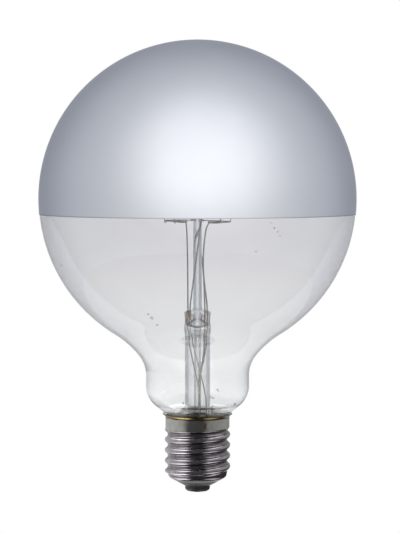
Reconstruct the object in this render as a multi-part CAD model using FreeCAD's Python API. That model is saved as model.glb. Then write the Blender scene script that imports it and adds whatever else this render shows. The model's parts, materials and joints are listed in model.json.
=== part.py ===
import FreeCAD, Part
import math
import os

# Half-mirrored globe bulb on a large screw cap, in millimetres.
# The origin is the middle of the soldered end contact and +Z runs up the axis to the crown.
# Azimuths are in degrees from +X towards +Y, and the front of the bulb faces -Y.

V = FreeCAD.Vector
ORIGIN = V(0, 0, 0)
AXIS = V(0, 0, 1)

# Screw cap
THREAD_MAJOR_RADIUS = 19.75
THREAD_MINOR_RADIUS = 17.95
THREAD_PITCH = 6.35
SCREW_LENGTH = 28.7
FIRST_CREST = 4.85
CAP_WALL = 0.45
SKIRT_RADIUS = 19.3
SKIRT_LENGTH = 5.2
RIM_FLARE_RADIUS = 3.0
RIM_FLARE_ANGLE = 55.0
THREAD_RUN_OUT_TOP = 2.8
THREAD_RUN_OUT_FOOT = 1.7
FOOT_RADIUS = 17.7
FOOT_BEND_RADIUS = 2.6
FOOT_CONE_ANGLE = 61.0
FOOT_EDGE_RADIUS = 13.8

# End contact, its insulator and the solder
SOLDER_DEPTH = 0.5
SOLDER_RADIUS = 3.6
SOLDER_ROUND = 0.35
SOLDER_PLUG_HEIGHT = 3.0
CONTACT_RADIUS = 7.5
CONTACT_DEPTH = 3.4
CONTACT_BEND_RADIUS = 2.0
CONTACT_WALL = 0.5
EYELET_RADIUS = 2.3
EYELET_HEIGHT = 9.6
INSULATOR_TOE_RADIUS = 8.0
INSULATOR_RISE = 1.5
INSULATOR_CLEARANCE = 0.3
INSULATOR_DISH_RADIUS = 4.5
INSULATOR_DISH_DEPTH = 2.6

# Blown glass
GLASS_WALL = 0.9
GLOBE_RADIUS = 95.0
FLOW_RADIUS = 60.0
THROAT_RADIUS = 20.0
FLOW_JOIN_ANGLE = 40.0
NECK_RADIUS = 31.1
NECK_LENGTH = 6.1
SHOULDER_RADIUS = 15.3
SEAT_CONE_ANGLE = 52.0
SEAT_FILLET_RADIUS = 3.0
CEMENT_THICKNESS = 2.65
CEMENT_BELOW_RIM = 2.2
NECK_INSERTION = 16.2

# Mirror coat
MIRROR_THICKNESS = 0.12
MIRROR_EDGE_DROP = 9.1

# Glass mount: flare, tube, press, exhaust tube and rod
STEM_RADIUS = 7.55
STEM_WALL = 1.1
FLARE_ANGLE = 60.0
STEM_HEIGHT = 79.0
PRESS_HEIGHT = 10.6
PRESS_TAPER = 15.0
PRESS_ROUND_SHARE = 0.2
PRESS_HALFWAY_SHARE = 0.6
PRESS_HALF_WIDTH = 7.9
PRESS_HALF_DEPTH = 2.2
PRESS_CAVITY_DEPTH = 1.3
PRESS_BOSS_RADIUS = 3.3
PRESS_SHOULDER_WIDTH = 5.9
PRESS_SHOULDER_HEIGHT = 2.2
PRESS_TOP_DEPTH = 1.9
EXHAUST_RADIUS = 2.2
EXHAUST_WALL = 0.8
EXHAUST_TIP_DROP = 7.0
EXHAUST_PORT_RADIUS = 0.8
ROD_RADIUS = 2.6
BUTTON_RADIUS = 4.2
BUTTON_DEPTH = 5.6
BUTTON_ROUND = 1.9

# Filament ring and its supports
FILAMENT_RING_RADIUS = 19.2
FILAMENT_ABOVE_PRESS = 53.1
FILAMENT_RADIUS = 0.38
FILAMENT_BORE_RADIUS = 0.2
FRONT_GAP_ANGLE = 38.0
BACK_GAP_ANGLE = 11.0
SUPPORT_RADIUS = 0.25
SUPPORT_ABOVE_FILAMENT = 7.0
SUPPORT_REACH_ABOVE = 5.2
SUPPORT_STRAIGHT = 1.0
SUPPORT_SPREAD = 46.0

# Inner leads, seal wires and strands
LEAD_RADIUS = 0.4
LEAD_EMBED = 1.6
LEAD_OUTER_X = 5.8
LEAD_INNER_X = 4.4
LEAD_Y = 0.6
CRIMP_RADIUS = 0.75
CRIMP_SPAN = 6.5
SEAL_WIRE_RADIUS = 0.45
SEAL_WIRE_LENGTH = 8.0
WELD_RADIUS = 0.7
STRAND_RADIUS = 0.35
STRAND_GAP = 0.2
WIRE_GAP = 0.05
STRAND_MEET_X = 5.2
STRAND_MEET_Y = 1.5
STRAND_MEET_RISE = 8.0
STRAND_UNDER_X = 4.8
STRAND_UNDER_Y = 6.0
STRAND_TURN_X = 3.7
STRAND_TURN_Y = -3.6
STRAND_TURN_RISE = 12.5
STRAND_JOIN_SHARE = 0.5

# Side lead over the rim and its solder
SIDE_LEAD_AZIMUTH = 62.0
SIDE_LEAD_GAP = 0.35
SIDE_LEAD_TURN_IN = 4.2
SIDE_LEAD_TURN_BELOW = 4.6
SIDE_LEAD_TURN_UP = 3.6
SIDE_LEAD_OVER = 1.0
SIDE_LEAD_SETTLE = 0.1
SIDE_LEAD_LAP = 3.6
SIDE_SOLDER_RADIUS = 0.95
SIDE_SOLDER_LENGTH = 0.6

# Bends of the inner leads above the press: x and y in rod radii, and the share of the ring's height
LEAD_BENDS = {
    "front_left": [(-2.35, -0.6, 0.60), (-2.55, -3.4, 0.93)],
    "front_right": [(1.30, -1.5, 0.50), (1.95, -3.2, 0.90)],
    "back_right": [(-1.0, -1.4, 0.36), (0.40, -1.4, 0.90), (1.5, -0.8, 0.955), (1.5, 1.5, 0.985)],
    "back_left": [(1.35, 1.6, 0.46), (0.40, 1.9, 0.80), (-0.35, 2.6, 0.95)],
}

# Bends of the strands inside the stem tube: x and y in stem bores, and the share of the way to the rim
STRAND_BENDS = {
    "front_left": [(-0.42, -0.50, 0.38), (0.08, -0.68, 0.68), (0.16, -0.68, 1.0)],
    "back_right": [(0.08, -0.74, 0.42), (0.37, -0.66, 0.58), (0.78, -0.25, 0.80), (0.82, -0.18, 1.0)],
    "front_right": [(0.65, -0.34, 0.30), (0.37, -0.50, 0.46), (0.22, -0.50, 0.60), (0.19, -0.50, 1.0)],
    "back_left": [(0.58, 0.34, 0.30), (0.37, 0.55, 0.46), (0.22, 0.60, 0.60), (0.19, 0.58, 1.0)],
}

# Sampling of the rolled thread surface
THREAD_COLUMNS = 40
ROWS_PER_PITCH = 12
JOIN_TOLERANCE = 0.0001

# Heights up the axis
FOOT_SLOPE = math.radians(FOOT_CONE_ANGLE)
CONTACT_BACK_Z = SOLDER_DEPTH + CONTACT_DEPTH
SHELL_EDGE_Z = CONTACT_BACK_Z + (FOOT_EDGE_RADIUS - INSULATOR_TOE_RADIUS) / math.tan(FOOT_SLOPE)
FOOT_CONE_END_RADIUS = FOOT_RADIUS - FOOT_BEND_RADIUS * (1 - math.cos(FOOT_SLOPE))
FOOT_CONE_RISE = (FOOT_CONE_END_RADIUS - FOOT_EDGE_RADIUS) / math.tan(FOOT_SLOPE)
SCREW_FOOT_Z = SHELL_EDGE_Z + FOOT_CONE_RISE + FOOT_BEND_RADIUS * math.sin(FOOT_SLOPE)
SKIRT_Z = SCREW_FOOT_Z + SCREW_LENGTH
FLARE_START_Z = SKIRT_Z + SKIRT_LENGTH
RIM_Z = FLARE_START_Z + RIM_FLARE_RADIUS * math.sin(math.radians(RIM_FLARE_ANGLE))
NECK_END_Z = RIM_Z - NECK_INSERTION
PRESS_TOP_Z = NECK_END_Z + STEM_HEIGHT
PRESS_FLOOR_Z = PRESS_TOP_Z - PRESS_HEIGHT
TAPER_START_Z = PRESS_FLOOR_Z - PRESS_TAPER
SEAL_FOOT_Z = PRESS_TOP_Z - LEAD_EMBED - SEAL_WIRE_LENGTH
TIP_Z = NECK_END_Z - EXHAUST_TIP_DROP
FILAMENT_Z = PRESS_TOP_Z + FILAMENT_ABOVE_PRESS
BUTTON_Z = FILAMENT_Z + SUPPORT_ABOVE_FILAMENT

# Radii and gaps that follow from the cap and its side lead
SKIRT_BORE = SKIRT_RADIUS - CAP_WALL
RIM_CENTRE_RADIUS = SKIRT_BORE + RIM_FLARE_RADIUS
RIM_EDGE_RADIUS = RIM_CENTRE_RADIUS - RIM_FLARE_RADIUS * math.cos(math.radians(RIM_FLARE_ANGLE))
NECK_TUBE_RADIUS = SKIRT_BORE - CEMENT_THICKNESS
NECK_TUBE_BORE = NECK_TUBE_RADIUS - GLASS_WALL
RIM_GAP = 2 * (STRAND_RADIUS + WIRE_GAP)


def section_point(radius, height):
    """A point of a turned section, in the plane y = 0."""
    return V(radius, 0, height)


def cylinder_point(radius, azimuth, height):
    turn = math.radians(azimuth)
    return V(radius * math.cos(turn), radius * math.sin(turn), height)


def line(start, end):
    return Part.LineSegment(start, end).toShape()


def arc(centre, radius, start_angle, end_angle):
    """An arc of a turned section, between two angles in degrees from +X towards +Z."""
    angles = [math.radians(a) for a in (start_angle, (start_angle + end_angle) / 2, end_angle)]
    points = [centre + V(radius * math.cos(a), 0, radius * math.sin(a)) for a in angles]
    return Part.Arc(*points).toShape()


def start_of(edge):
    return edge.valueAt(edge.FirstParameter)


def end_of(edge):
    return edge.valueAt(edge.LastParameter)


def turned(edges):
    """The solid that a closed section sweeps round the axis."""
    section = Part.Face(Part.Wire(Part.sortEdges(edges)[0]))
    solid = section.revolve(ORIGIN, AXIS, 360).Solids[0]
    if solid.Volume < 0:
        solid.reverse()
    return solid


def rounded_path(points, share=0.45):
    """Straight runs with a tangent arc at each inner point, as large as its two runs allow."""
    edges = []
    start = points[0]
    for before, corner, after in zip(points, points[1:], points[2:]):
        back = before - corner
        ahead = after - corner
        reach = share * min(back.Length, ahead.Length)
        back.normalize()
        ahead.normalize()
        half_angle = back.getAngle(ahead) / 2
        bend = reach * math.tan(half_angle)
        inward = (back + ahead).normalize()
        leave = corner + back * reach
        join = corner + ahead * reach
        middle = corner + inward * (bend / math.sin(half_angle) - bend)
        edges.append(line(start, leave))
        edges.append(Part.Arc(leave, middle, join).toShape())
        start = join
    edges.append(line(start, points[-1]))
    return edges


def wire_rod(points, radius):
    """Round wire along straight runs and tangent arcs."""
    path = Part.Wire(rounded_path(points))
    profile = Part.Face(Part.Wire(Part.Circle(points[0], points[1] - points[0], radius).toShape()))
    return path.makePipe(profile)


def thread_radius(along, inset):
    """Radius of the rolled thread at a distance along the axis from a crest.

    The section is of equal arcs that touch at the flanks. The inset is 0 for the outer face and
    the sheet's thickness for the inner one, which keeps the same arc centres.
    """
    depth = THREAD_MAJOR_RADIUS - THREAD_MINOR_RADIUS
    quarter = THREAD_PITCH / 4
    roll = (quarter ** 2 + (depth / 2) ** 2) / depth
    offset = abs((along + THREAD_PITCH / 2) % THREAD_PITCH - THREAD_PITCH / 2)
    if offset <= quarter * (roll - inset) / roll:
        return THREAD_MAJOR_RADIUS - roll + math.sqrt((roll - inset) ** 2 - offset ** 2)
    return THREAD_MINOR_RADIUS + roll - math.sqrt((roll + inset) ** 2 - (2 * quarter - offset) ** 2)


def ease(value):
    held = min(max(value, 0.0), 1.0)
    return held * held * (3 - 2 * held)


def screw_radius(azimuth, height, inset):
    """Radius of the screw shell, with the thread run out into the skirt above and the foot below."""
    crest = SCREW_FOOT_Z + FIRST_CREST + THREAD_PITCH * azimuth / 360
    radius = thread_radius(height - crest, inset)
    to_skirt = ease((height - SKIRT_Z + THREAD_RUN_OUT_TOP) / THREAD_RUN_OUT_TOP)
    to_foot = ease((SCREW_FOOT_Z + THREAD_RUN_OUT_FOOT - height) / THREAD_RUN_OUT_FOOT)
    radius += (SKIRT_RADIUS - inset - radius) * to_skirt
    radius += (FOOT_RADIUS - inset - radius) * to_foot
    return radius


def screw_face(inset):
    """One smooth face of the screw shell, from the foot up to the skirt."""
    rows = round(SCREW_LENGTH / THREAD_PITCH * ROWS_PER_PITCH)
    heights = [SCREW_FOOT_Z + SCREW_LENGTH * row / rows for row in range(rows + 1)]
    azimuths = [360 * column / THREAD_COLUMNS for column in range(THREAD_COLUMNS + 1)]
    grid = [[cylinder_point(screw_radius(a, z, inset), a, z) for z in heights] for a in azimuths]
    surface = Part.BSplineSurface()
    surface.interpolate(grid)
    return surface.toShape()


def rim_section(inset):
    """Skirt and flared rim, upwards. The inset is 0 outside and the wall inside."""
    radius = SKIRT_RADIUS - inset
    centre = section_point(RIM_CENTRE_RADIUS, FLARE_START_Z)
    flare = arc(centre, RIM_CENTRE_RADIUS - radius, 180, 180 - RIM_FLARE_ANGLE)
    return [line(section_point(radius, SKIRT_Z), section_point(radius, FLARE_START_Z)), flare]


def foot_section(inset):
    """Foot bend and cone of the shell, downwards and inwards."""
    centre = section_point(FOOT_RADIUS - FOOT_BEND_RADIUS, SCREW_FOOT_Z)
    bend = arc(centre, FOOT_BEND_RADIUS - inset, 0, -FOOT_CONE_ANGLE)
    along = inset * math.cos(FOOT_SLOPE)
    up = inset * math.sin(FOOT_SLOPE)
    edge = section_point(FOOT_EDGE_RADIUS - along, SHELL_EDGE_Z + up)
    return [bend, line(end_of(bend), edge)]


def end_ring(outer, inner, pick):
    """The flat ring that closes the screw wall at its lowest or highest edge."""
    rings = []
    for face in (outer, inner):
        closed = [edge for edge in face.Edges if edge.isClosed()]
        rings.append(Part.Wire(pick(closed, key=lambda edge: edge.BoundBox.Center.z)))
    return Part.makeFace(rings, "Part::FaceMakerBullseye")


def screw_wall():
    """Rolled thread wall, the same thickness in the crests and in the troughs."""
    outer = screw_face(0)
    inner = screw_face(CAP_WALL)
    wall = Part.Solid(Part.Shell([outer, inner, end_ring(outer, inner, min), end_ring(outer, inner, max)]))
    wall.fix(JOIN_TOLERANCE, JOIN_TOLERANCE, JOIN_TOLERANCE)
    return wall


def sheet_band(section):
    """A turned band of the shell's sheet, between its outer and inner faces."""
    outer = section(0)
    inner = section(CAP_WALL)
    ends = [line(start_of(outer[0]), start_of(inner[0])), line(end_of(outer[-1]), end_of(inner[-1]))]
    return turned(outer + inner + ends)


def cap_shell():
    """Thin sheet shell: foot, rolled thread, skirt and flared rim."""
    bands = [sheet_band(rim_section), sheet_band(foot_section)]
    return screw_wall().fuse(bands, JOIN_TOLERANCE).Solids[0]


def contact_section(inset):
    """Pressed cup of the end contact, from its bottom edge out and up to the insulator."""
    centre = section_point(CONTACT_RADIUS - CONTACT_BEND_RADIUS, SOLDER_DEPTH + CONTACT_BEND_RADIUS)
    bend = arc(centre, CONTACT_BEND_RADIUS - inset, -90, 0)
    return [bend, line(end_of(bend), section_point(CONTACT_RADIUS - inset, CONTACT_BACK_Z))]


def centre_contact():
    """Pressed cup with a tubular eyelet through the insulator."""
    bore = EYELET_RADIUS - CONTACT_WALL
    outer = contact_section(0)
    inner = contact_section(CONTACT_WALL)
    cup_top = [line(end_of(outer[-1]), end_of(inner[-1]))]
    bottom = section_point(bore, SOLDER_DEPTH)
    tube = [
        section_point(EYELET_RADIUS, SOLDER_DEPTH + CONTACT_WALL),
        section_point(EYELET_RADIUS, SOLDER_DEPTH + EYELET_HEIGHT),
        section_point(bore, SOLDER_DEPTH + EYELET_HEIGHT),
        bottom,
    ]
    runs = [line(start_of(inner[0]), tube[0])] + [line(a, b) for a, b in zip(tube, tube[1:])]
    return turned([line(bottom, start_of(outer[0]))] + outer + cup_top + inner + runs)


def cap_insulator():
    """Black glass cone moulded between the contact and the shell, dished on top."""
    cup = contact_section(CONTACT_WALL)
    foot_outer = foot_section(0)
    foot = foot_section(CAP_WALL)
    toe = section_point(INSULATOR_TOE_RADIUS, CONTACT_BACK_Z)
    top_z = SCREW_FOOT_Z + INSULATOR_RISE
    shoulder = section_point(FOOT_RADIUS - CAP_WALL - INSULATOR_CLEARANCE, top_z)
    dish = section_point(INSULATOR_DISH_RADIUS, top_z - INSULATOR_DISH_DEPTH)
    lip = section_point(EYELET_RADIUS, top_z - INSULATOR_DISH_DEPTH)
    bottom = section_point(EYELET_RADIUS, SOLDER_DEPTH + CONTACT_WALL)
    edges = [line(bottom, start_of(cup[0]))] + cup
    edges += [line(end_of(cup[-1]), toe), line(toe, end_of(foot_outer[-1]))]
    edges += [line(end_of(foot_outer[-1]), end_of(foot[-1]))] + foot
    edges += [line(start_of(foot[0]), shoulder), line(shoulder, dish), line(dish, lip), line(lip, bottom)]
    return turned(edges)


def tip_solder():
    """Solder plug in the eyelet with a rounded flat button under the contact."""
    bore = EYELET_RADIUS - CONTACT_WALL
    centre = section_point(SOLDER_RADIUS - SOLDER_ROUND, SOLDER_ROUND)
    edge = arc(centre, SOLDER_ROUND, -90, 0)
    points = [
        end_of(edge),
        section_point(SOLDER_RADIUS, SOLDER_DEPTH),
        section_point(bore, SOLDER_DEPTH),
        section_point(bore, SOLDER_PLUG_HEIGHT),
        section_point(0, SOLDER_PLUG_HEIGHT),
        ORIGIN,
        start_of(edge),
    ]
    return turned([edge] + [line(a, b) for a, b in zip(points, points[1:])])


def shoulder_centre():
    """Centre of the neck's shoulder arc: the cone below it passes the cap's rim at the rim gap."""
    slope = math.radians(SEAT_CONE_ANGLE)
    radius = NECK_RADIUS - SHOULDER_RADIUS
    rise = (SHOULDER_RADIUS + RIM_GAP - (RIM_EDGE_RADIUS - radius) * math.cos(slope)) / math.sin(slope)
    return section_point(radius, RIM_Z + rise)


def seat_fillet_centre():
    """Centre of the hollow fillet between the cone and the neck tube."""
    slope = math.radians(SEAT_CONE_ANGLE)
    shoulder = shoulder_centre()
    radius = NECK_TUBE_RADIUS + SEAT_FILLET_RADIUS
    reach = (radius - shoulder.x) * math.cos(slope) - SHOULDER_RADIUS - SEAT_FILLET_RADIUS
    return section_point(radius, shoulder.z + reach / math.sin(slope))


def throat_centre():
    return section_point(NECK_RADIUS + THROAT_RADIUS, shoulder_centre().z + NECK_LENGTH)


def flow_centre():
    """Centre of the long hollow arc between the globe and the throat."""
    join = math.radians(FLOW_JOIN_ANGLE)
    step = FLOW_RADIUS - THROAT_RADIUS
    return throat_centre() + V(step * math.cos(join), 0, -step * math.sin(join))


def globe_centre():
    """The globe touches the long hollow arc from above."""
    flow = flow_centre()
    rise = math.sqrt((GLOBE_RADIUS + FLOW_RADIUS) ** 2 - flow.x ** 2)
    return section_point(0, flow.z + rise)


def blown_section(inset):
    """Half outline of the blown glass, from the crown down to the neck tube's end.

    The inset is 0 for the outside and the wall for the inside, and every arc keeps its centre.
    """
    globe = globe_centre()
    flow = flow_centre()
    touch = math.degrees(math.atan2(flow.z - globe.z, flow.x))
    edges = [arc(globe, GLOBE_RADIUS - inset, 90, touch)]
    edges.append(arc(flow, FLOW_RADIUS + inset, touch + 180, 180 - FLOW_JOIN_ANGLE))
    edges.append(arc(throat_centre(), THROAT_RADIUS + inset, 180 - FLOW_JOIN_ANGLE, 180))
    shoulder = arc(shoulder_centre(), SHOULDER_RADIUS - inset, 0, -SEAT_CONE_ANGLE)
    edges += [line(end_of(edges[-1]), start_of(shoulder)), shoulder]
    fillet = arc(seat_fillet_centre(), SEAT_FILLET_RADIUS + inset, 180 - SEAT_CONE_ANGLE, 180)
    edges += [line(end_of(shoulder), start_of(fillet)), fillet]
    edges.append(line(end_of(fillet), section_point(NECK_TUBE_RADIUS - inset, NECK_END_Z)))
    return edges


def glass_envelope():
    """Blown globe with its neck, one wall thickness all over."""
    outer = blown_section(0)
    inner = blown_section(GLASS_WALL)
    crown = line(start_of(outer[0]), start_of(inner[0]))
    foot = line(end_of(outer[-1]), end_of(inner[-1]))
    return turned(outer + inner + [crown, foot])


def blown_form():
    """The envelope's outer form as one filled solid, for cutting what is fitted round it."""
    outer = blown_section(0)
    foot = section_point(0, NECK_END_Z)
    return turned(outer + [line(end_of(outer[-1]), foot), line(foot, start_of(outer[0]))])


def mirror_coating():
    """Silver coat on the crown, down to its level edge."""
    globe = globe_centre()
    angle = -math.degrees(math.asin(MIRROR_EDGE_DROP / GLOBE_RADIUS))
    outer = arc(globe, GLOBE_RADIUS + MIRROR_THICKNESS, 90, angle)
    inner = arc(globe, GLOBE_RADIUS, 90, angle)
    ends = [line(start_of(outer), start_of(inner)), line(end_of(outer), end_of(inner))]
    return turned([outer, inner] + ends)


def basing_cement():
    """Cement ring between the neck and the skirt, up to just under the rim."""
    rim = rim_section(CAP_WALL)
    top_z = RIM_Z - CEMENT_BELOW_RIM
    turn = math.degrees(math.asin((top_z - FLARE_START_Z) / RIM_FLARE_RADIUS))
    flare = arc(section_point(RIM_CENTRE_RADIUS, FLARE_START_Z), RIM_FLARE_RADIUS, 180, 180 - turn)
    points = [
        end_of(flare),
        section_point(NECK_TUBE_RADIUS, top_z),
        section_point(NECK_TUBE_RADIUS, SKIRT_Z),
        start_of(rim[0]),
    ]
    ring = turned([rim[0], flare] + [line(a, b) for a, b in zip(points, points[1:])])
    return ring.cut(blown_form())


def flare_section():
    """Turned part of the stem: tube wall that opens into the flare sealed in the neck tube."""
    slope = math.radians(FLARE_ANGLE)
    bend = (NECK_TUBE_BORE - STEM_RADIUS) / (1 - math.cos(slope))
    centre = section_point(STEM_RADIUS + bend, NECK_END_Z + (bend + STEM_WALL) * math.sin(slope))
    outer = arc(centre, bend, 180, 180 + FLARE_ANGLE)
    inner = arc(centre, bend + STEM_WALL, 180, 180 + FLARE_ANGLE)
    return outer, inner


def oval(height, half_width, half_depth):
    """A flattened ring of four arcs: two ends and two broad sides."""
    corner_x = half_width - half_depth * (1 - math.sqrt(0.5))
    corner_y = half_depth * math.sqrt(0.5)
    corners = [V(x * corner_x, y * corner_y, height) for x, y in ((1, -1), (1, 1), (-1, 1), (-1, -1))]
    middles = [V(x * half_width, y * half_depth, height) for x, y in ((1, 0), (0, 1), (-1, 0), (0, -1))]
    arcs = [Part.Arc(a, m, b).toShape() for a, m, b in zip(corners, middles, corners[1:] + corners[:1])]
    return Part.Wire(arcs)


def flattening_tube(inset, depth):
    """Filled form of the tube's top, from round to flat: the outside, or the cavity by an inset."""
    radius = STEM_RADIUS - inset
    rings = [
        oval(TAPER_START_Z, radius, radius),
        oval(TAPER_START_Z + PRESS_ROUND_SHARE * PRESS_TAPER, radius, radius),
        oval(TAPER_START_Z + PRESS_HALFWAY_SHARE * PRESS_TAPER, radius, (radius + depth) / 2),
        oval(PRESS_FLOOR_Z, PRESS_HALF_WIDTH - inset, depth),
    ]
    return Part.makeLoft(rings, True, False)


def press():
    """Flat pressed wings with a round boss in the middle, where the exhaust tube and the rod meet."""
    shoulder_z = PRESS_TOP_Z - PRESS_SHOULDER_HEIGHT
    wings = Part.makeLoft([
        oval(PRESS_FLOOR_Z, PRESS_HALF_WIDTH, PRESS_HALF_DEPTH),
        oval(shoulder_z, PRESS_HALF_WIDTH, PRESS_HALF_DEPTH),
        oval(PRESS_TOP_Z, PRESS_SHOULDER_WIDTH, PRESS_TOP_DEPTH),
    ], True, True)
    section = [
        section_point(0, PRESS_FLOOR_Z),
        section_point(PRESS_HALF_DEPTH, PRESS_FLOOR_Z),
        section_point(PRESS_BOSS_RADIUS, PRESS_FLOOR_Z + PRESS_SHOULDER_HEIGHT),
        section_point(ROD_RADIUS, PRESS_TOP_Z),
        section_point(0, PRESS_TOP_Z),
    ]
    boss = turned([line(a, b) for a, b in zip(section, section[1:] + section[:1])])
    return wings.fuse(boss)


def stem_tube(wires):
    """Flare, tube and press in one piece, cut by the wires that are pressed into it."""
    outer, inner = flare_section()
    neck_edge = section_point(NECK_TUBE_BORE, NECK_END_Z)
    bore_top = section_point(STEM_RADIUS - STEM_WALL, TAPER_START_Z)
    wall_top = section_point(STEM_RADIUS, TAPER_START_Z)
    tube = turned([
        line(wall_top, start_of(outer)),
        outer,
        line(end_of(outer), neck_edge),
        line(neck_edge, end_of(inner)),
        inner,
        line(start_of(inner), bore_top),
        line(bore_top, wall_top),
    ])
    cavity = flattening_tube(STEM_WALL, PRESS_CAVITY_DEPTH)
    top = flattening_tube(0, PRESS_HALF_DEPTH).cut(cavity)
    port_start = V(0, 0, PRESS_FLOOR_Z - PRESS_HALF_DEPTH)
    port = Part.makeCylinder(EXHAUST_PORT_RADIUS, STEM_RADIUS, port_start, V(0, 1, 1))
    return tube.fuse([top, press()]).cut(port).cut(Part.makeCompound(wires))


def exhaust_tube(stem):
    """Thin tube from the press down into the cap, drawn to a sealed round tip."""
    bore = EXHAUST_RADIUS - EXHAUST_WALL
    outer = arc(section_point(0, TIP_Z + EXHAUST_RADIUS), EXHAUST_RADIUS, -90, 0)
    inner = arc(section_point(0, TIP_Z + EXHAUST_RADIUS), bore, -90, 0)
    top_outer = section_point(EXHAUST_RADIUS, PRESS_FLOOR_Z)
    top_inner = section_point(bore, PRESS_FLOOR_Z)
    tube = turned([
        outer,
        line(end_of(outer), top_outer),
        line(top_outer, top_inner),
        line(top_inner, end_of(inner)),
        inner,
        line(start_of(inner), start_of(outer)),
    ])
    return min(tube.cut(stem).Solids, key=lambda piece: piece.BoundBox.ZMin)


def centre_rod(supports):
    """Glass rod on the press, with a rounded button that holds the support wires."""
    half = BUTTON_DEPTH / 2
    inner_radius = BUTTON_RADIUS - BUTTON_ROUND
    rod = Part.makeCylinder(ROD_RADIUS, BUTTON_Z - PRESS_TOP_Z, V(0, 0, PRESS_TOP_Z), AXIS)
    upper = arc(section_point(inner_radius, BUTTON_Z + half - BUTTON_ROUND), BUTTON_ROUND, 90, 0)
    lower = arc(section_point(inner_radius, BUTTON_Z - half + BUTTON_ROUND), BUTTON_ROUND, 0, -90)
    top = section_point(0, BUTTON_Z + half)
    bottom = section_point(0, BUTTON_Z - half)
    button = turned([
        line(top, start_of(upper)),
        upper,
        line(end_of(upper), start_of(lower)),
        lower,
        line(end_of(lower), bottom),
        line(bottom, top),
    ])
    return rod.fuse(button).removeSplitter().cut(Part.makeCompound(supports))


def ring_arc(radius, start, span, tube_radius):
    """A round bar bent along the filament ring, between two azimuths."""
    centre = V(radius, 0, FILAMENT_Z)
    profile = Part.Face(Part.Wire(Part.Circle(centre, V(0, 1, 0), tube_radius).toShape()))
    profile.rotate(ORIGIN, AXIS, start)
    return profile.revolve(ORIGIN, AXIS, span)


def filament_ends(side):
    """Azimuths where a filament starts and ends, with the gaps between the two at front and back."""
    front = 90 - FRONT_GAP_ANGLE / 2
    back = 90 - BACK_GAP_ANGLE / 2
    if side == "right":
        return -front, back
    return 180 - back, 180 + front


def filament_form(side, radius=FILAMENT_RADIUS):
    start, end = filament_ends(side)
    return ring_arc(FILAMENT_RING_RADIUS, start, end - start, radius)


def filament(side):
    """One coiled arc of tungsten wire, as the tube that its turns fill."""
    return filament_form(side).cut(filament_form(side, FILAMENT_BORE_RADIUS))


def support_wire(azimuth):
    """Wire from the button out over the ring, bent down and hooked under the filament."""
    hook = FILAMENT_RADIUS + SUPPORT_RADIUS + WIRE_GAP
    outside = FILAMENT_RING_RADIUS + hook
    inside = FILAMENT_RING_RADIUS - hook
    points = [
        section_point(BUTTON_RADIUS / 2, BUTTON_Z),
        section_point(BUTTON_RADIUS + SUPPORT_STRAIGHT, BUTTON_Z),
        section_point(outside, FILAMENT_Z + SUPPORT_REACH_ABOVE),
        section_point(outside, FILAMENT_Z),
    ]
    path = rounded_path(points)
    path.append(arc(section_point(FILAMENT_RING_RADIUS, FILAMENT_Z), hook, 0, -180))
    hook_end = section_point(inside, FILAMENT_Z + FILAMENT_RADIUS)
    path.append(line(section_point(inside, FILAMENT_Z), hook_end))
    profile = Part.Face(Part.Wire(Part.Circle(points[0], V(1, 0, 0), SUPPORT_RADIUS).toShape()))
    hooked = Part.Wire(path).makePipe(profile)
    hooked.rotate(ORIGIN, AXIS, azimuth)
    return hooked


def lead_places():
    """Each lead's place in the press, its filament and the azimuth of the end that it holds."""
    right_front, right_back = filament_ends("right")
    left_back, left_front = filament_ends("left")
    return {
        "front_left": (V(-LEAD_OUTER_X, LEAD_Y, 0), "left", left_front, -1),
        "front_right": (V(LEAD_OUTER_X, -LEAD_Y, 0), "right", right_front, 1),
        "back_right": (V(-LEAD_INNER_X, -LEAD_Y, 0), "right", right_back, -1),
        "back_left": (V(LEAD_INNER_X, LEAD_Y, 0), "left", left_back, 1),
    }


def inner_lead(name):
    """Nickel wire from inside the press to the ring, with its end crimped round the filament's end."""
    place, side, azimuth, inward = lead_places()[name]
    points = [place + V(0, 0, PRESS_TOP_Z - LEAD_EMBED), place + V(0, 0, PRESS_TOP_Z + LEAD_EMBED)]
    for across, deep, share in LEAD_BENDS[name]:
        height = PRESS_TOP_Z + share * FILAMENT_ABOVE_PRESS
        points.append(V(across * ROD_RADIUS, deep * ROD_RADIUS, height))
    crimp_middle = azimuth + inward * CRIMP_SPAN / 2
    crimp_reach = FILAMENT_RING_RADIUS - FILAMENT_RADIUS - LEAD_RADIUS / 2
    points.append(cylinder_point(crimp_reach, crimp_middle, FILAMENT_Z))
    crimp = ring_arc(FILAMENT_RING_RADIUS, crimp_middle - CRIMP_SPAN / 2, CRIMP_SPAN, CRIMP_RADIUS)
    return wire_rod(points, LEAD_RADIUS).fuse(crimp).cut(filament_form(side))


def seal_wire(name, lead):
    """Copper-coated wire sealed in the press, with the weld bead round the inner lead's foot."""
    place = lead_places()[name][0]
    wire = Part.makeCylinder(SEAL_WIRE_RADIUS, SEAL_WIRE_LENGTH, place + V(0, 0, SEAL_FOOT_Z), AXIS)
    bead = Part.makeSphere(WELD_RADIUS, place + V(0, 0, PRESS_TOP_Z - LEAD_EMBED))
    return wire.fuse(bead).cut(lead)


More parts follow.
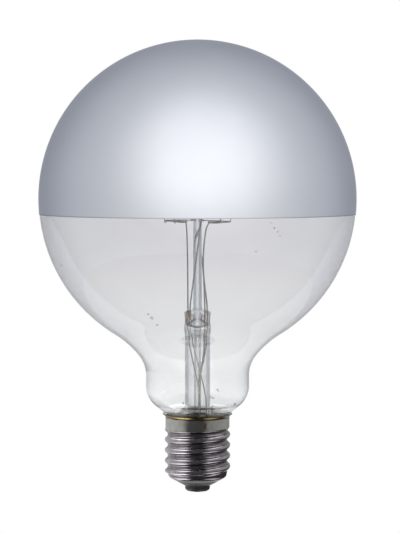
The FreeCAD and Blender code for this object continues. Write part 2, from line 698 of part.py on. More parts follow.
def side_lead_run():
    """Route of the side lead: out under the neck, up through the cement, over the rim, onto the skirt."""
    slope = math.radians(SEAT_CONE_ANGLE)
    along_cone = V(math.sin(slope), 0, math.cos(slope))
    flare = math.radians(RIM_FLARE_ANGLE)
    beside_neck = NECK_TUBE_RADIUS + STRAND_RADIUS + SIDE_LEAD_GAP
    outside = STRAND_RADIUS + WIRE_GAP
    rim_outer = RIM_CENTRE_RADIUS - (RIM_FLARE_RADIUS - CAP_WALL) * math.cos(flare) + outside
    rim_middle = section_point(
        RIM_EDGE_RADIUS - RIM_GAP / 2 * math.cos(slope),
        RIM_Z + RIM_GAP / 2 * math.sin(slope),
    )
    over = rim_middle + along_cone * SIDE_LEAD_OVER
    section = [
        section_point(NECK_TUBE_RADIUS - SIDE_LEAD_TURN_IN, NECK_END_Z - SIDE_LEAD_TURN_BELOW),
        section_point(beside_neck, NECK_END_Z - SIDE_LEAD_TURN_UP),
        rim_middle - along_cone * ((rim_middle.x - beside_neck) / along_cone.x),
        over,
        section_point(rim_outer + SIDE_LEAD_GAP, over.z - SIDE_LEAD_GAP),
        section_point(rim_outer + SIDE_LEAD_SETTLE, RIM_Z - SIDE_LEAD_OVER),
        section_point(SKIRT_RADIUS + outside, FLARE_START_Z - SIDE_LEAD_OVER),
        section_point(SKIRT_RADIUS + outside, FLARE_START_Z - SIDE_LEAD_LAP),
    ]
    turn = FreeCAD.Rotation(AXIS, SIDE_LEAD_AZIMUTH)
    return [turn.multVec(point) for point in section]


def strand_head(name):
    """Upper part of a strand, from the seal wire down to the cap's rim."""
    place = lead_places()[name][0]
    bore = STEM_RADIUS - STEM_WALL
    points = [place + V(0, 0, SEAL_FOOT_Z), place + V(0, 0, PRESS_FLOOR_Z - PRESS_HALF_DEPTH)]
    for across, deep, share in STRAND_BENDS[name]:
        points.append(V(across * bore, deep * bore, PRESS_FLOOR_Z + share * (RIM_Z - PRESS_FLOOR_Z)))
    return points


def strand_meeting():
    """Where the two strands of the side lead meet, and where they pass below the neck's end."""
    meet = V(STRAND_MEET_X, STRAND_MEET_Y, NECK_END_Z + STRAND_MEET_RISE)
    under = V(STRAND_UNDER_X, STRAND_UNDER_Y, NECK_END_Z)
    return meet, under


def strand_to_side():
    """The strand that leaves under the neck and is soldered on the skirt."""
    meet, under = strand_meeting()
    return wire_rod(strand_head("back_right") + [meet, under] + side_lead_run(), STRAND_RADIUS)


def strand_to_side_joined():
    """The second strand of the same side, laid against the first one inside the cap."""
    meet, under = strand_meeting()
    beside = V(-2 * STRAND_RADIUS - WIRE_GAP, 0, 0)
    inside = [
        V(STRAND_TURN_X, STRAND_TURN_Y, NECK_END_Z + STRAND_TURN_RISE),
        meet + beside,
        meet + (under - meet) * STRAND_JOIN_SHARE + beside,
    ]
    return wire_rod(strand_head("front_left") + inside, STRAND_RADIUS)


def strand_to_tip(name, side):
    """A strand that runs beside the exhaust tube and down the eyelet to the solder."""
    spread = side * (STRAND_RADIUS + STRAND_GAP)
    start = strand_head(name)
    last = start[-1]
    inside = [
        V(last.x, last.y, TIP_Z),
        V(spread, 0, SOLDER_DEPTH + EYELET_HEIGHT + EYELET_RADIUS),
        V(spread, 0, SOLDER_PLUG_HEIGHT),
    ]
    return wire_rod(start + inside, STRAND_RADIUS)


def side_solder(strand):
    """Smear of solder over the side lead's end on the skirt."""
    top = cylinder_point(SKIRT_RADIUS, SIDE_LEAD_AZIMUTH, FLARE_START_Z - SIDE_LEAD_LAP)
    foot = top - V(0, 0, SIDE_SOLDER_LENGTH)
    smear = Part.makeCylinder(SIDE_SOLDER_RADIUS, SIDE_SOLDER_LENGTH, foot, AXIS)
    ends = [Part.makeSphere(SIDE_SOLDER_RADIUS, point) for point in (top, foot)]
    skirt = Part.makeCylinder(SKIRT_RADIUS, 2 * SKIRT_LENGTH, V(0, 0, SKIRT_Z - SKIRT_LENGTH), AXIS)
    return smear.fuse(ends).removeSplitter().cut(skirt).cut(strand)


def build():
    nodes = {
        "cap_shell": cap_shell(),
        "cap_insulator": cap_insulator(),
        "centre_contact": centre_contact(),
        "tip_solder": tip_solder(),
        "glass_envelope": glass_envelope(),
        "mirror_coating": mirror_coating(),
        "filament_left": filament("left"),
        "filament_right": filament("right"),
    }
    for name in lead_places():
        lead = inner_lead(name)
        nodes["inner_lead_" + name] = lead
        nodes["seal_wire_" + name] = seal_wire(name, lead)
    nodes["outer_lead_back_right"] = strand_to_side()
    nodes["outer_lead_front_left"] = strand_to_side_joined()
    nodes["outer_lead_front_right"] = strand_to_tip("front_right", 1)
    nodes["outer_lead_back_left"] = strand_to_tip("back_left", -1)
    azimuths = [side + step * SUPPORT_SPREAD for side in (180, 0) for step in (-1, 0, 1)]
    supports = [support_wire(azimuth) for azimuth in azimuths]
    for number, support in enumerate(supports, 1):
        nodes["support_wire_%d" % number] = support
    nodes["centre_rod"] = centre_rod(supports)
    passing = ("inner_lead", "seal_wire", "outer_lead")
    pressed_in = [shape for name, shape in nodes.items() if name.startswith(passing)]
    nodes["stem_tube"] = stem_tube(pressed_in)
    nodes["exhaust_tube"] = exhaust_tube(nodes["stem_tube"])
    nodes["basing_cement"] = basing_cement().cut(nodes["outer_lead_back_right"])
    nodes["tip_solder"] = nodes["tip_solder"].cut(Part.makeCompound([
        nodes["outer_lead_front_right"],
        nodes["outer_lead_back_left"],
    ]))
    nodes["side_solder"] = side_solder(nodes["outer_lead_back_right"])
    return nodes


os.makedirs("parts", exist_ok=True)
for node, shape in build().items():
    shape.exportStep("parts/%s.step" % node)
    print(node, shape.ShapeType, len(shape.Solids), shape.isValid(), round(shape.Volume, 2))
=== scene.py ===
import bmesh
import bpy
import json
import math
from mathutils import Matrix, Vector


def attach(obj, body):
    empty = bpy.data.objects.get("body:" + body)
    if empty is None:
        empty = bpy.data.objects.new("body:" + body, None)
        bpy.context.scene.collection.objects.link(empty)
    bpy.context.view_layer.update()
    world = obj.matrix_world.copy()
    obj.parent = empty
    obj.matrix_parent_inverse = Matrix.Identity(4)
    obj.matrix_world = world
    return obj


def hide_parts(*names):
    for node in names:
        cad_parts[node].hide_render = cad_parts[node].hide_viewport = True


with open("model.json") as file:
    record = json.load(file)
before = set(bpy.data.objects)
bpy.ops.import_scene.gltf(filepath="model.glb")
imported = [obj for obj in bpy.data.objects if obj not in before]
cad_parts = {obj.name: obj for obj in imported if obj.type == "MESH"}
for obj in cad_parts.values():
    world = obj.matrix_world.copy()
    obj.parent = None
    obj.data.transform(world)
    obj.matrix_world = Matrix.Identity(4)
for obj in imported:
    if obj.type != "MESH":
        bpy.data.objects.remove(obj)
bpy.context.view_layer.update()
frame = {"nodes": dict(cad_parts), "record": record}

MM = 0.001

# Sizes are in millimetres, in the row frame. Materials, lamp and camera use metres

# Blown glass
GLOBE_R = 95.0
FLOW_R = 60.0           # outward curve under the globe
THROAT_R = 20.0         # tighter curve into the neck
NECK_R, NECK_L = 31.1, 6.1
SHOULDER_R, FILLET_R = 15.3, 3.0
NECK_TUBE_R, NECK_END_Z = 16.2, 30.966
JOIN_ANGLE, CONE_ANGLE = 40.0, 52.0
GLASS_WALL = 0.9
NECK_THINNING, THIN_FOOT_Z, THIN_TOP_Z = 0.45, 42.0, 66.0
COAT_INSIDE, COAT_OUTSIDE = 0.02, 0.10
MIRROR_DROP = 9.1
GLOBE_SEGMENTS = 224

# Glass mount
STEM_R, STEM_WALL, FLARE_ANGLE = 7.55, 1.1, 60.0
PRESS_FLOOR_Z, PRESS_TOP_Z = 99.366, 109.966
PRESS_TAPER = 8.0       # height over which the tube flattens
PRESS_HALF_WIDTH, PRESS_HALF_DEPTH = 7.9, 2.35
PRESS_ROUNDING = 2.4
BOSS_WIDTH, DIP_X, DIP_WIDTH, BOW_REACH = 1.9, 2.9, 1.1, 6.4
CAVITY_HALF_WIDTH, CAVITY_HALF_DEPTH, CAVITY_RISE, CAVITY_BOW = 6.6, 1.5, 0.9, 1.5
ROD_R, ROD_FOOT_R, ROD_FOOT_DEPTH, ROD_FOOT_RISE = 2.6, 3.0, 2.7, 1.4
BUTTON_R, BUTTON_HALF, BUTTON_RISE = 4.2, 2.8, 7.0
EXHAUST_R, EXHAUST_DROP = 2.2, 7.0
CAVITY_R = STEM_R - STEM_WALL
TAPER_Z = PRESS_FLOOR_Z - PRESS_TAPER
SHOULDER_Z = PRESS_TOP_Z - PRESS_ROUNDING

# Filament ring and wires
FILAMENT_Z, RING_R, RING_SLOPE = 163.066, 19.2, 0.02
LEAD_R, SEAL_FOOT, STRAND_NARROW_R, STRAND_NARROW_Z = 0.44, 9.4, 0.35, 52.0
# Coil radius, pitch and wire radius
FINE_COIL, WOUND_COIL = (0.22, 0.27, 0.12), (0.56, 0.30, 0.15)
COIL_STEPS, COIL_SIDES = 7, 5

# Cap
RIM_Z, RIM_EDGE_R, RIM_GAP = 47.166, 20.129, 0.80
RIM_BEND, RIM_ANGLE, RIM_BEAD_R = 3.0, 55.0, 0.42
SCREW_FOOT_Z, SKIRT_Z, FLARE_START_Z = 10.808, 39.508, 44.708
PITCH, CREST_R, TROUGH_R, SKIRT_R = 6.35, 19.75, 17.95, 19.3
FIRST_CREST, FOOT_RUN_OUT, SKIRT_RUN_OUT = 4.85, 1.7, 2.8
FOOT_R, FOOT_BEND, FOOT_SLOPE, FOOT_EDGE = 17.7, 2.6, 61.0, (13.8, 7.115)
SHEET = 0.45


def smooth(t):
    t = min(max(t, 0.0), 1.0)
    return t * t * (3 - 2 * t)


def blend_value(a, b, t):
    return a + (b - a) * smooth(t)


# Mesh helpers. Every object stays at the origin, and its place is in its mesh

def mesh_object(name, verts, faces, sharp=35.0):
    mesh = bpy.data.meshes.new(name)
    mesh.from_pydata([tuple(c * MM for c in v) for v in verts], [], faces)
    mesh.validate()
    shape = bmesh.new()
    shape.from_mesh(mesh)
    bmesh.ops.recalc_face_normals(shape, faces=shape.faces)
    shape.to_mesh(mesh)
    shape.free()
    mesh.polygons.foreach_set("use_smooth", [True] * len(mesh.polygons))
    mesh.set_sharp_from_angle(angle=math.radians(sharp))
    mesh.update()
    obj = bpy.data.objects.new(name, mesh)
    bpy.context.collection.objects.link(obj)
    return obj


def ring_grid(rings, closed_rows):
    """Vertices and faces between closed rings. A ring of one point is a pole.

    closed_rows also joins the last ring to the first.
    """
    verts = []
    starts = []
    for ring in rings:
        starts.append((len(verts), len(ring)))
        verts.extend(ring)
    pairs = list(zip(starts, starts[1:]))
    if closed_rows:
        pairs.append((starts[-1], starts[0]))
    faces = []
    for (a, count_a), (b, count_b) in pairs:
        count = max(count_a, count_b)
        if count == 1:
            continue
        for i in range(count):
            j = (i + 1) % count
            if count_a == 1:
                faces.append((a, b + j, b + i))
            elif count_b == 1:
                faces.append((a + i, a + j, b))
            else:
                faces.append((a + i, a + j, b + j, b + i))
    return verts, faces


def arc_points(centre_r, centre_z, radius, start, end, steps):
    """Points (radius, height) on an arc between two angles in degrees."""
    out = []
    for i in range(steps + 1):
        a = math.radians(start + (end - start) * i / steps)
        out.append((centre_r + radius * math.cos(a), centre_z + radius * math.sin(a)))
    return out


def line_points(a, b, steps):
    return [(a[0] + (b[0] - a[0]) * i / steps, a[1] + (b[1] - a[1]) * i / steps) for i in range(steps + 1)]


def no_repeats(points):
    out = [points[0]]
    for p in points[1:]:
        if math.hypot(p[0] - out[-1][0], p[1] - out[-1][1]) > 1e-4:
            out.append(p)
    return out


def circle(radius, z, count):
    turns = [2 * math.pi * i / count for i in range(count)]
    return [(radius * math.cos(a), radius * math.sin(a), z) for a in turns]


def lathe(name, profile, segments, sharp=35.0):
    """Turns a (radius, height) profile round the axis, closed unless it starts and ends on the axis."""
    rings = [[(0.0, 0.0, z)] if r < 1e-6 else circle(r, z, segments) for r, z in profile]
    on_axis = profile[0][0] < 1e-6 and profile[-1][0] < 1e-6
    verts, faces = ring_grid(rings, not on_axis)
    return mesh_object(name, verts, faces, sharp)


def spline(points, per_span=12):
    """Centripetal curve through the points."""
    p = [Vector(q) for q in points]
    p = [p[0] * 2 - p[1]] + p + [p[-1] * 2 - p[-2]]
    out = []
    for k in range(1, len(p) - 2):
        a, b, c, d = p[k - 1], p[k], p[k + 1], p[k + 2]
        t0 = 0.0
        t1 = t0 + max((b - a).length, 1e-6) ** 0.5
        t2 = t1 + max((c - b).length, 1e-6) ** 0.5
        t3 = t2 + max((d - c).length, 1e-6) ** 0.5
        for i in range(per_span):
            t = t1 + (t2 - t1) * i / per_span
            a1 = a * ((t1 - t) / (t1 - t0)) + b * ((t - t0) / (t1 - t0))
            a2 = b * ((t2 - t) / (t2 - t1)) + c * ((t - t1) / (t2 - t1))
            a3 = c * ((t3 - t) / (t3 - t2)) + d * ((t - t2) / (t3 - t2))
            b1 = a1 * ((t2 - t) / (t2 - t0)) + a2 * ((t - t0) / (t2 - t0))
            b2 = a2 * ((t3 - t) / (t3 - t1)) + a3 * ((t - t1) / (t3 - t1))
            out.append(b1 * ((t2 - t) / (t2 - t1)) + b2 * ((t - t1) / (t2 - t1)))
    out.append(p[-2])
    return out


def sweep_rings(path, radius, sides):
    """Rings of a round bar along a path. radius is a number or a function of the share of the way."""
    path = [Vector(q) for q in path]
    tangent = (path[1] - path[0]).normalized()
    side = tangent.orthogonal().normalized()
    rings = []
    for k, point in enumerate(path):
        ahead = (path[min(k + 1, len(path) - 1)] - path[max(k - 1, 0)]).normalized()
        turn = tangent.rotation_difference(ahead)
        side = (turn @ side).normalized()
        tangent = ahead
        other = tangent.cross(side)
        r = radius(k / (len(path) - 1)) if callable(radius) else radius
        ring = []
        for i in range(sides):
            a = 2 * math.pi * i / sides
            ring.append(tuple(point + side * (r * math.cos(a)) + other * (r * math.sin(a))))
        rings.append(ring)
    return rings


def bars(name, lines, sharp):
    """One mesh of round bars, each given by its path, radius and number of sides and closed at its ends."""
    verts = []
    faces = []
    for path, radius, sides in lines:
        rings = [[tuple(path[0])]] + sweep_rings(path, radius, sides) + [[tuple(path[-1])]]
        more, grid = ring_grid(rings, False)
        faces += [tuple(index + len(verts) for index in face) for face in grid]
        verts += more
    return mesh_object(name, verts, faces, sharp)


# Blown glass

def shoulder_centre():
    r = NECK_R - SHOULDER_R
    cone = math.radians(CONE_ANGLE)
    rise = (SHOULDER_R + RIM_GAP - (RIM_EDGE_R - r) * math.cos(cone)) / math.sin(cone)
    return r, RIM_Z + rise


def fillet_centre():
    shoulder_r, shoulder_z = shoulder_centre()
    cone = math.radians(CONE_ANGLE)
    r = NECK_TUBE_R + FILLET_R
    rise = ((r - shoulder_r) * math.cos(cone) - SHOULDER_R - FILLET_R) / math.sin(cone)
    return r, shoulder_z + rise


def flow_centre():
    join = math.radians(JOIN_ANGLE)
    reach = FLOW_R - THROAT_R
    return THROAT[0] + reach * math.cos(join), THROAT[1] - reach * math.sin(join)


THROAT = (NECK_R + THROAT_R, shoulder_centre()[1] + NECK_L)
FLOW = flow_centre()
GLOBE_Z = FLOW[1] + math.sqrt((GLOBE_R + FLOW_R) ** 2 - FLOW[0] ** 2)
MIRROR_EDGE_Z = GLOBE_Z - MIRROR_DROP


def blown_profile(inset):
    """From the crown down to the end of the neck tube, inset inside the outer surface."""
    touch = math.degrees(math.atan2(FLOW[1] - GLOBE_Z, FLOW[0]))
    shoulder_r, shoulder_z = shoulder_centre()
    fillet_r, fillet_z = fillet_centre()
    points = arc_points(0, GLOBE_Z, GLOBE_R - inset, 90, touch, 90)
    points += arc_points(FLOW[0], FLOW[1], FLOW_R + inset, touch + 180, 180 - JOIN_ANGLE, 12)
    points += arc_points(THROAT[0], THROAT[1], THROAT_R + inset, 180 - JOIN_ANGLE, 180, 12)
    points += line_points((NECK_R - inset, THROAT[1]), (NECK_R - inset, shoulder_z), 4)
    points += arc_points(shoulder_r, shoulder_z, SHOULDER_R - inset, 0, -CONE_ANGLE, 16)
    points += arc_points(fillet_r, fillet_z, FILLET_R + inset, 180 - CONE_ANGLE, 180, 8)
    points += line_points((NECK_TUBE_R - inset, fillet_z), (NECK_TUBE_R - inset, NECK_END_Z), 6)
    points[0] = (0.0, points[0][1])
    return no_repeats(points)


def globe_piece():
    """One closed wall, which is thinner in the neck."""
    outer = blown_profile(0.0)
    inner = []
    for r, z in blown_profile(GLASS_WALL):
        thin = smooth((THIN_TOP_Z - z) / 10) * smooth((z - THIN_FOOT_Z) / 3)
        inner.append((r + NECK_THINNING * thin, z))
    return lathe("globe_glass", outer + inner[::-1], GLOBE_SEGMENTS)


def coat_piece():
    """Silver coat outside the crown, down to its level edge."""
    edge_angle = -math.degrees(math.asin(MIRROR_DROP / GLOBE_R))
    skins = []
    for offset in (COAT_OUTSIDE, COAT_INSIDE):
        skin = arc_points(0, GLOBE_Z, GLOBE_R + offset, 90, edge_angle, 80)
        skin[0] = (0.0, skin[0][1])
        skins.append(skin)
    return lathe("silver_coat", skins[0] + skins[1][::-1], GLOBE_SEGMENTS, 60)


globe_glass = globe_piece()
silver_coat = coat_piece()


# Glass mount: flare, tube, press and rod in one fused piece

def oval_ring(z, half_width, half_depth, power=2, boss=0.0, bow=0.0, dip=0.0, count=120):
    """Flattened ring.

    boss swells its middle to a round lump, dip hollows it on both sides of the lump, and bow drops its
    middle.
    """
    ring = []
    for i in range(count):
        a = 2 * math.pi * i / count
        c, s = math.cos(a), math.sin(a)
        x = half_width * math.copysign(abs(c) ** (2 / power), c)
        y = half_depth * math.copysign(abs(s) ** (2 / power), s)
        y += boss * math.exp(-(x / BOSS_WIDTH) ** 2) * s
        y -= dip * math.exp(-((abs(x) - DIP_X) / DIP_WIDTH) ** 2) * s
        ring.append((x, y, z - bow * max(1 - (x / BOW_REACH) ** 2, 0.0)))
    return ring


def flared_tube(inset):
    """Rings from the flare's edge up the round tube, inset inside the outer surface."""
    angle = math.radians(FLARE_ANGLE)
    bend = (NECK_TUBE_R - GLASS_WALL - STEM_R) / (1 - math.cos(angle))
    centre_z = NECK_END_Z + (bend + STEM_WALL) * math.sin(angle)
    flare = arc_points(STEM_R + bend, centre_z, bend + inset, 180 + FLARE_ANGLE, 180, 14)
    rings = [oval_ring(z, r, r) for r, z in flare]
    for k in range(1, 8):
        rings.append(oval_ring(centre_z + (TAPER_Z - centre_z) * k / 8, STEM_R - inset, STEM_R - inset))
    return rings


def press_rings():
    """The tube flattens to the press, which swells in lumps and rounds off under the rod."""
    rings = []
    for k in range(25):
        t = k / 24
        width = blend_value(STEM_R, PRESS_HALF_WIDTH, t)
        depth = blend_value(STEM_R, PRESS_HALF_DEPTH, t)
        boss = 0.55 * smooth(t * 4 - 3)
        rings.append(oval_ring(TAPER_Z + PRESS_TAPER * t, width, depth, 2 + 0.6 * smooth(t), boss))
    for k in range(1, 15):
        t = k / 14
        swell = math.sin(math.pi * t)
        lumps = 0.35 * math.sin(2 * math.pi * t) * swell
        rings.append(oval_ring(
            PRESS_FLOOR_Z + (SHOULDER_Z - PRESS_FLOOR_Z) * t, PRESS_HALF_WIDTH - 0.35 * swell,
            PRESS_HALF_DEPTH - 0.2 * swell + lumps, 2.4, 0.55 + 0.35 * swell, 0.0, 0.85 * swell))
    for k in range(1, 17):
        t = k / 16
        width = blend_value(PRESS_HALF_WIDTH, ROD_FOOT_R, t ** 1.5)
        depth = blend_value(PRESS_HALF_DEPTH, ROD_FOOT_DEPTH, t)
        z = SHOULDER_Z + PRESS_ROUNDING * (1 - (1 - t) ** 1.6)
        rings.append(oval_ring(z, width, depth, 2.6 - 0.6 * t, 0.55 * (1 - t)))
    return rings


def rod_rings():
    """From the press up the slightly wavy rod to its button, which ends in a pole."""
    rings = []
    for k in range(1, 6):
        t = k / 5
        width, depth = blend_value(ROD_FOOT_R, ROD_R, t), blend_value(ROD_FOOT_DEPTH, ROD_R, t)
        rings.append(oval_ring(PRESS_TOP_Z + ROD_FOOT_RISE * t, width, depth))
    foot_z = PRESS_TOP_Z + ROD_FOOT_RISE
    button_z = FILAMENT_Z + BUTTON_RISE
    low = button_z - BUTTON_HALF
    for k in range(1, 25):
        t = k / 24
        r = ROD_R + 0.03 * math.sin(9 * t) + 0.02 * math.sin(23 * t)
        rings.append(oval_ring(foot_z + (low - 0.6 - foot_z) * t, r, r))
    for k in range(1, 17):
        a = -math.pi / 2 + math.pi * k / 16
        r = ROD_R + (BUTTON_R - ROD_R) * math.cos(a) if a < 0 else BUTTON_R * math.cos(a)
        rings.append(oval_ring(button_z + BUTTON_HALF * math.sin(a), max(r, 0.05), max(r, 0.05)))
    rings.append([(0.0, 0.0, low + 5.62)])
    return rings


def cavity_rings():
    """The inside of the tube where it flattens, up to its bowed end."""
    rings = []
    height = PRESS_TAPER + CAVITY_RISE
    for k in range(25):
        t = k / 24
        width = blend_value(CAVITY_R, CAVITY_HALF_WIDTH, t)
        depth = blend_value(CAVITY_R, CAVITY_HALF_DEPTH, t)
        bow = CAVITY_BOW * smooth(2 * t - 1)
        rings.append(oval_ring(TAPER_Z + height * t, width, depth, 2 + 0.4 * smooth(t), 0.0, bow))
    for k in range(1, 9):
        a = math.pi / 2 * k / 8
        rings.append(oval_ring(
            TAPER_Z + height + 0.8 * math.sin(a), CAVITY_HALF_WIDTH - 0.4 * (1 - math.cos(a)),
            max(CAVITY_HALF_DEPTH * math.cos(a), 0.02), 2.4, 0.0, CAVITY_BOW))
    return rings


def stem_piece():
    outside = flared_tube(0.0) + press_rings() + rod_rings()
    inside = flared_tube(STEM_WALL) + cavity_rings()
    verts, faces = ring_grid(outside[::-1] + inside, False)
    # The cavity's last ring is a slit, so its front half is stitched to its back half
    count = len(inside[-1])
    first = len(verts) - count
    for i in range(count // 2):
        face = (first + i, first + i + 1, first + count - i - 1, first + (count - i) % count)
        faces.append(tuple(dict.fromkeys(face)))
    return mesh_object("stem_glass", verts, faces, 50)


def exhaust_piece():
    """Thin tube inside the stem, sealed at its lower tip and open under the press."""
    tip_z = NECK_END_Z - EXHAUST_DROP
    neck_z, top_z = PRESS_FLOOR_Z - 3.5, PRESS_FLOOR_Z - 0.6
    profile = [(0.0, tip_z)] + arc_points(0, tip_z + EXHAUST_R, EXHAUST_R, -80, 0, 8)
    profile += line_points((EXHAUST_R, tip_z + EXHAUST_R), (2.1, neck_z), 8)[1:]
    profile += [(1.9, top_z), (1.2, top_z)]
    profile += line_points((1.3, neck_z), (1.4, tip_z + 3.0), 8) + [(0.0, tip_z + 1.8)]
    return lathe("exhaust_glass", profile, 48, 60)


stem_glass = stem_piece()
exhaust_glass = exhaust_piece()


# Wires. Azimuths are in degrees

def ring_height(x):
    """The filament ring drops a little to the right."""
    return FILAMENT_Z - RING_SLOPE * x


def lead_piece(name, foot, bends, crimp_azimuth):
    """Smooth nickel wire from the press to the ring, with a crimp round the filament's end."""
    path = [(foot[0], foot[1], PRESS_TOP_Z - 1.6), (foot[0], foot[1], PRESS_TOP_Z + 1.6)]
    path += [(x, y, PRESS_TOP_Z + share * (FILAMENT_Z - PRESS_TOP_Z)) for x, y, share in bends]
    a = math.radians(crimp_azimuth)
    end_r = RING_R - 0.45
    path.append((end_r * math.cos(a), end_r * math.sin(a), ring_height(RING_R * math.cos(a)) + 0.2))
    crimp = []
    for k in range(9):
        a = math.radians(crimp_azimuth + 6.0 * (k / 8 - 0.5))
        crimp.append((RING_R * math.cos(a), RING_R * math.sin(a), ring_height(RING_R * math.cos(a))))
    wire = (spline(path), LEAD_R, 10)
    return bars(name, [wire, (crimp, lambda t: 0.62 + 0.12 * math.cos(2 * math.pi * t), 12)], 60)


def seal_piece(name, x, y, radius):
    """Copper-coated wire in the press, thicker where it is welded to the lead."""
    def at(t):
        wander_x, wander_y = 0.10 * math.sin(7 * t + x), 0.08 * math.cos(5 * t)
        return x + wander_x, y + wander_y, PRESS_TOP_Z - 1.2 - 8.4 * t

    def thickness(t):
        return radius + 0.15 * math.exp(-((t - 0.05) / 0.06) ** 2) + 0.04 * math.sin(40 * t + x)

    return bars(name, [([at(k / 24) for k in range(25)], thickness, 12)], 50)


def strand_piece(name, foot, bends, rest, radius):
    """Stranded wire from the press down into the cap, thinner where it leaves through the rim's gap."""
    drop = RIM_Z - PRESS_FLOOR_Z
    path = [(foot[0], foot[1], PRESS_TOP_Z - SEAL_FOOT), (foot[0], foot[1], PRESS_FLOOR_Z - 2.2)]
    path += [(CAVITY_R * x, CAVITY_R * y, PRESS_FLOOR_Z + share * drop) for x, y, share in bends]
    line = spline(path + rest)

    def thickness(t):
        height = line[int(t * (len(line) - 1))].z
        return radius if height > STRAND_NARROW_Z else STRAND_NARROW_R

    return bars(name, [(line, thickness, 10)], 50)


def coil_line(start, end, coil_radius, pitch, wire_radius):
    """Path, radius and sides of a coil laid along the filament ring, between two azimuths."""
    turns = RING_R * math.radians(end - start) / pitch
    count = int(turns * COIL_STEPS)
    path = []
    for k in range(count + 1):
        a = math.radians(start + (end - start) * k / count)
        roll = 2 * math.pi * turns * k / count
        r = RING_R + coil_radius * math.cos(roll)
        x = r * math.cos(a)
        path.append((x, r * math.sin(a), ring_height(x) + coil_radius * math.sin(roll)))
    return path, wire_radius, COIL_SIDES


def coil_piece(name, start, end, wound_start, wound_end):
    """Arc of fine coil, wound thicker near its clamped front end."""
    lines = [coil_line(start, end, *FINE_COIL), coil_line(wound_start, wound_end, *WOUND_COIL)]
    return bars(name, lines, 70)


# Foot in the press, bends with their share of the way up to the filament, and the crimp's azimuth
LEADS = {
    "front_left": ((-5.8, 0.6), [(-6.0, -1.6, 0.60), (-6.5, -9.0, 0.93)], 247.75),
    "front_right": ((5.8, -0.6), [(3.4, -3.9, 0.50), (5.0, -8.3, 0.90)], -67.75),
    "back_right": ((-4.4, -0.6), [
        (-2.1, -3.5, 0.38), (0.9, -3.7, 0.80), (1.9, -3.4, 0.96), (2.5, 0.6, 1.02), (2.9, 9.0, 1.02),
    ], 81.25),
    "back_left": ((4.4, 0.6), [
        (3.4, 4.2, 0.44), (0.9, 5.0, 0.78), (-1.2, 6.0, 0.95), (-2.2, 9.5, 1.02),
    ], 98.75),
}
SEAL_RADII = {"front_left": 0.70, "back_right": 0.62, "front_right": 0.46, "back_left": 0.42}
# Bends as shares of the tube's inner radius and of the way down to the rim, points below, and radius
STRANDS = {
    "front_left": (
        [(-0.42, -0.50, 0.38), (0.08, -0.68, 0.68), (0.16, -0.68, 1.0)],
        [(3.7, -3.6, 43.47), (4.45, 1.5, 38.97), (4.25, 3.75, 34.97)], 0.38),
    "front_right": (
        [(0.65, -0.34, 0.30), (0.37, -0.50, 0.46), (0.22, -0.50, 0.60), (0.19, -0.50, 1.0)],
        [(1.23, -3.22, 23.97), (0.55, 0.0, 12.4), (0.55, 0.0, 3.0)], 0.50),
    "back_left": (
        [(0.58, 0.34, 0.30), (0.37, 0.55, 0.46), (0.22, 0.60, 0.60), (0.19, 0.58, 1.0)],
        [(1.23, 3.74, 23.97), (-0.55, 0.0, 12.4), (-0.55, 0.0, 3.0)], 0.50),
}

leads = {place: lead_piece("lead_" + place, *lead) for place, lead in LEADS.items()}
seals = {
    place: seal_piece("seal_" + place, *LEADS[place][0], radius) for place, radius in SEAL_RADII.items()
}
strands = {
    place: strand_piece("strand_" + place, LEADS[place][0], *strand) for place, strand in STRANDS.items()
}
coil_left = coil_piece("coil_left", 95.5, 251.0, 232.5, 246.0)
coil_right = coil_piece("coil_right", -71.0, 84.5, -69.0, -49.0)


# Screw shell: one sheet whose inside and outside follow the same thread

def thread_radius(along, inset):
    """Rolled thread of rounded crests and troughs, at a distance along the axis from a crest."""
    depth = CREST_R - TROUGH_R
    quarter = PITCH / 4
    roll = (quarter ** 2 + (depth / 2) ** 2) / depth
    offset = abs((along + PITCH / 2) % PITCH - PITCH / 2)
    if offset <= quarter * (roll - inset) / roll:
        return CREST_R - roll + math.sqrt((roll - inset) ** 2 - offset ** 2)
    return TROUGH_R + roll - math.sqrt((roll + inset) ** 2 - (2 * quarter - offset) ** 2)


def screw_radius(azimuth, z, inset):
    """The thread, which runs out into the skirt above and the foot below."""
    crest = SCREW_FOOT_Z + FIRST_CREST + PITCH * azimuth / 360
    radius = thread_radius(z - crest, inset)
    radius += (SKIRT_R - inset - radius) * smooth((z - SKIRT_Z + SKIRT_RUN_OUT) / SKIRT_RUN_OUT)
    radius += (FOOT_R - inset - radius) * smooth((SCREW_FOOT_Z + FOOT_RUN_OUT - z) / FOOT_RUN_OUT)
    return radius


def shell_rows(inset, steps):
    """Rows from the foot's edge to the rim: a point that is turned, or the height of a screw row."""
    slope = math.radians(FOOT_SLOPE)
    foot = arc_points(FOOT_R - FOOT_BEND, SCREW_FOOT_Z, FOOT_BEND - inset, -FOOT_SLOPE, 0, 10)
    edge = (FOOT_EDGE[0] - inset * math.cos(slope), FOOT_EDGE[1] + inset * math.sin(slope))
    rows = [("turned", p) for p in line_points(edge, foot[0], 4)[:-1] + foot[:-1]]
    for k in range(steps + 1):
        rows.append(("screw", SCREW_FOOT_Z + (SKIRT_Z - SCREW_FOOT_Z) * k / steps, inset))
    skirt = line_points((SKIRT_R - inset, SKIRT_Z), (SKIRT_R - inset, FLARE_START_Z), 8)
    bend = RIM_BEND - SHEET
    flare = arc_points(SKIRT_R + bend, FLARE_START_Z, bend + inset, 180, 180 - RIM_ANGLE, 10)
    return rows + [("turned", p) for p in skirt[1:] + flare[1:]]


